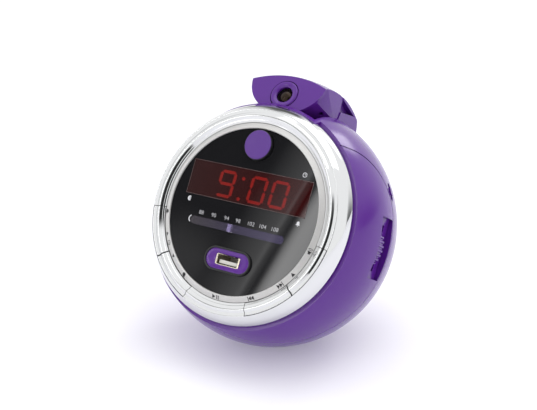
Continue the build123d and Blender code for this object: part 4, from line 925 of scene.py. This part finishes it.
front_plate = head_layer("projector_plate", [(23.1, 24), shoulder] + plate_arc, -plate_front, -plate_back)
for piece in (head, front_plate):
    carve(piece, rod("ring_hole", 8.15, 29.5, 40, optic_seat, 96))
cavity = [(-17, 8), (-17, -0.5), (-9.5, -7), (9.5, -7), (17, -0.5), (17, 8)]
carve(head, prism("cavity", cavity, -36.5, 6.0, lens_seat))
for side in (-1, 1):
    low, high = sorted((side * 19.4, side * 26))
    pocket = [(16.2, 12.6), (-1.5, 12.2), (14.2, 6.0)]
    carve(head, prism("side_pocket", pocket, low, high, head_seat))
    low, high = sorted((side * 16, side * 26))
    carve(head, prism("pin_hole", arc_points(0, 0, 1.55, 0, 345, 23), low, high, head_seat))
    keel_normal = (head_point(side, 0.681, 0.14, -0.718) - hinge_place).normalized()
    keel_turn = keel_normal.to_track_quat("Z", "Y").to_matrix().to_4x4()
    keel_seat = Matrix.Translation(head_point(side, 19.15, 26.8, -2.8)) @ keel_turn
    carve(head, rod("keel_hole", 1.25, -4, 2, keel_seat, 32))
soften(head, 0.25, 3, 22)
soften(front_plate, 0.4, 3, 30)
for piece, node in ((head, "projector_shell"), (front_plate, "projector_front")):
    dress(piece, abs_purple)
    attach(piece, "projector")
    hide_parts(node)

focus_section = [(5.2, 30.5), (7.75, 30.5), (7.75, 37.1)] + bow((7.75, 37.1), (7.53, 37.7), (7.0, 37.9), 8)
focus_section += bow((7.0, 37.9), (5.9, 37.75), (5.0, 37.35), 8) + bow((5.0, 37.35), (4.65, 37.12), (4.5, 36.9), 5)
focus_section += [(4.5, 36.7), (5.2, 36.7)]
focus = spin_section("focus_grip", focus_section, 360, 96)
soften(focus, 0.08)
settle(focus, optic_seat)
dress(focus, abs_purple)
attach(focus, "focus")
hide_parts("focus_ring")

# The lens is magnesium-fluoride coated glass over a dark barrel: brown-violet glints on black.
coated, coated_shader, coated_place = new_material("coated_lens_glass")
coated_haze = add_node(coated, "ShaderNodeTexNoise", {"Scale": 160.0, "Detail": 1.0}, {"Vector": coated_place})
surface(coated, coated_haze.outputs["Fac"], roughness=(0.02, 0.05))
coated_shader.inputs["Base Color"].default_value = linear("#17120F")
coated_shader.inputs["IOR"].default_value = 1.52
coated_shader.inputs["Specular Tint"].default_value = linear("#D9B9A4")
coated_shader.inputs["Specular IOR Level"].default_value = 0.4

lens_section = [(0, 31.8), (4.15, 31.8), (4.15, 34.9)] + bow((4.15, 34.9), (2.3, 36.25), (0, 36.7), 16)
front_lens = spin_section("front_lens", lens_section, 360, 96)
soften(front_lens, 0)
settle(front_lens, optic_seat)
dress(front_lens, coated)
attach(front_lens, "barrel")
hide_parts("projection_lens")

# ---- Inside and underneath -----------------------------------------------------------------
# Boards, switches, the loudspeaker, the light box, the coin cell and their fixings. They show
# through slots and gaps, and each has the finish of its own material.
display_face = moulded("moulded_display_face", "#151316", "#1A181B", 0.5, 0.12, 0.004)
cream_nylon = moulded("moulded_natural_nylon", "#CFC8B6", "#DDD7C8", 0.5)
foot_rubber = moulded("moulded_grey_rubber", "#232326", "#2D2D30", 0.75, 0.4, 0.08)
ferrite = moulded("sintered_ferrite", "#26272A", "#34353A", 0.6, 0.2, 0.06)
cone_paper = moulded("pressed_paper_cone", "#1B1A19", "#2B2927", 0.85, 0.5, 0.12)
steel = plated("zinc_plated_steel", "#A9ABAE", "#C9CBCE", 0.3, 0.2)
tinned = plated("tinned_steel", "#B4B5B4", "#D2D3D1", 0.35, 0.4)
diffuse_white = moulded("white_epoxy_led", "#E6E6E0", "#F4F4EE", 0.3)

board_green, board_shader, board_place = new_material("solder_masked_board")
# Copper tracks every 2.5 mm or so show through the green mask as a lighter tone.
board_tones = {"Color1": linear("#0E4A2B"), "Color2": linear("#115232"), "Mortar": linear("#1C6B40")}
board_pattern = {"Scale": 100.0, "Mortar Size": 0.08, **board_tones}
board_tracks = add_node(board_green, "ShaderNodeTexBrick", board_pattern, {"Vector": board_place})
board_shader.inputs["Roughness"].default_value = 0.28
surface(board_green, board_tracks.outputs["Fac"], relief=(0.3, 0.00004))
board_green.node_tree.links.new(board_tracks.outputs["Color"], board_shader.inputs["Base Color"])

slide_glass, slide_shader, slide_place = new_material("liquid_crystal_glass")
slide_tones = {"Color1": linear("#566059"), "Color2": linear("#5D675F"), "Mortar": linear("#3C433F")}
slide_pattern = {"Scale": 700.0, "Mortar Size": 0.05, **slide_tones}
slide_cells = add_node(slide_glass, "ShaderNodeTexBrick", slide_pattern, {"Vector": slide_place})
slide_shader.inputs["Roughness"].default_value = 0.06
slide_glass.node_tree.links.new(slide_cells.outputs["Color"], slide_shader.inputs["Base Color"])

finishes = (
    (abs_purple, ("volume_wheel", "tuning_wheel", "switch_knob", "battery_door")),
    (display_face, ("display_module",)),
    (black_abs, ("face_frame", "snooze_switch", "volume_pot", "dc_jack", "lens_barrel", "optics_housing")),
    (cream_nylon, ("tuning_capacitor",)),
    (foot_rubber, ("rubber_feet",)),
    (steel, ("housing_screws", "pointer_rail", "hinge_pins", "coin_cell")),
    (tinned, ("switch_body", "speaker_basket")),
    (ferrite, ("speaker_magnet",)),
    (cone_paper, ("speaker_cone",)),
    (nickel, ("battery_contact", "dome_switches")),
    (board_green, ("snooze_board", "display_board", "main_board", "usb_board")),
    (diffuse_white, ("projector_led",)),
    (slide_glass, ("lcd_slide",)),
)
for material, names in finishes:
    for name in names:
        dress(nodes[name], material)
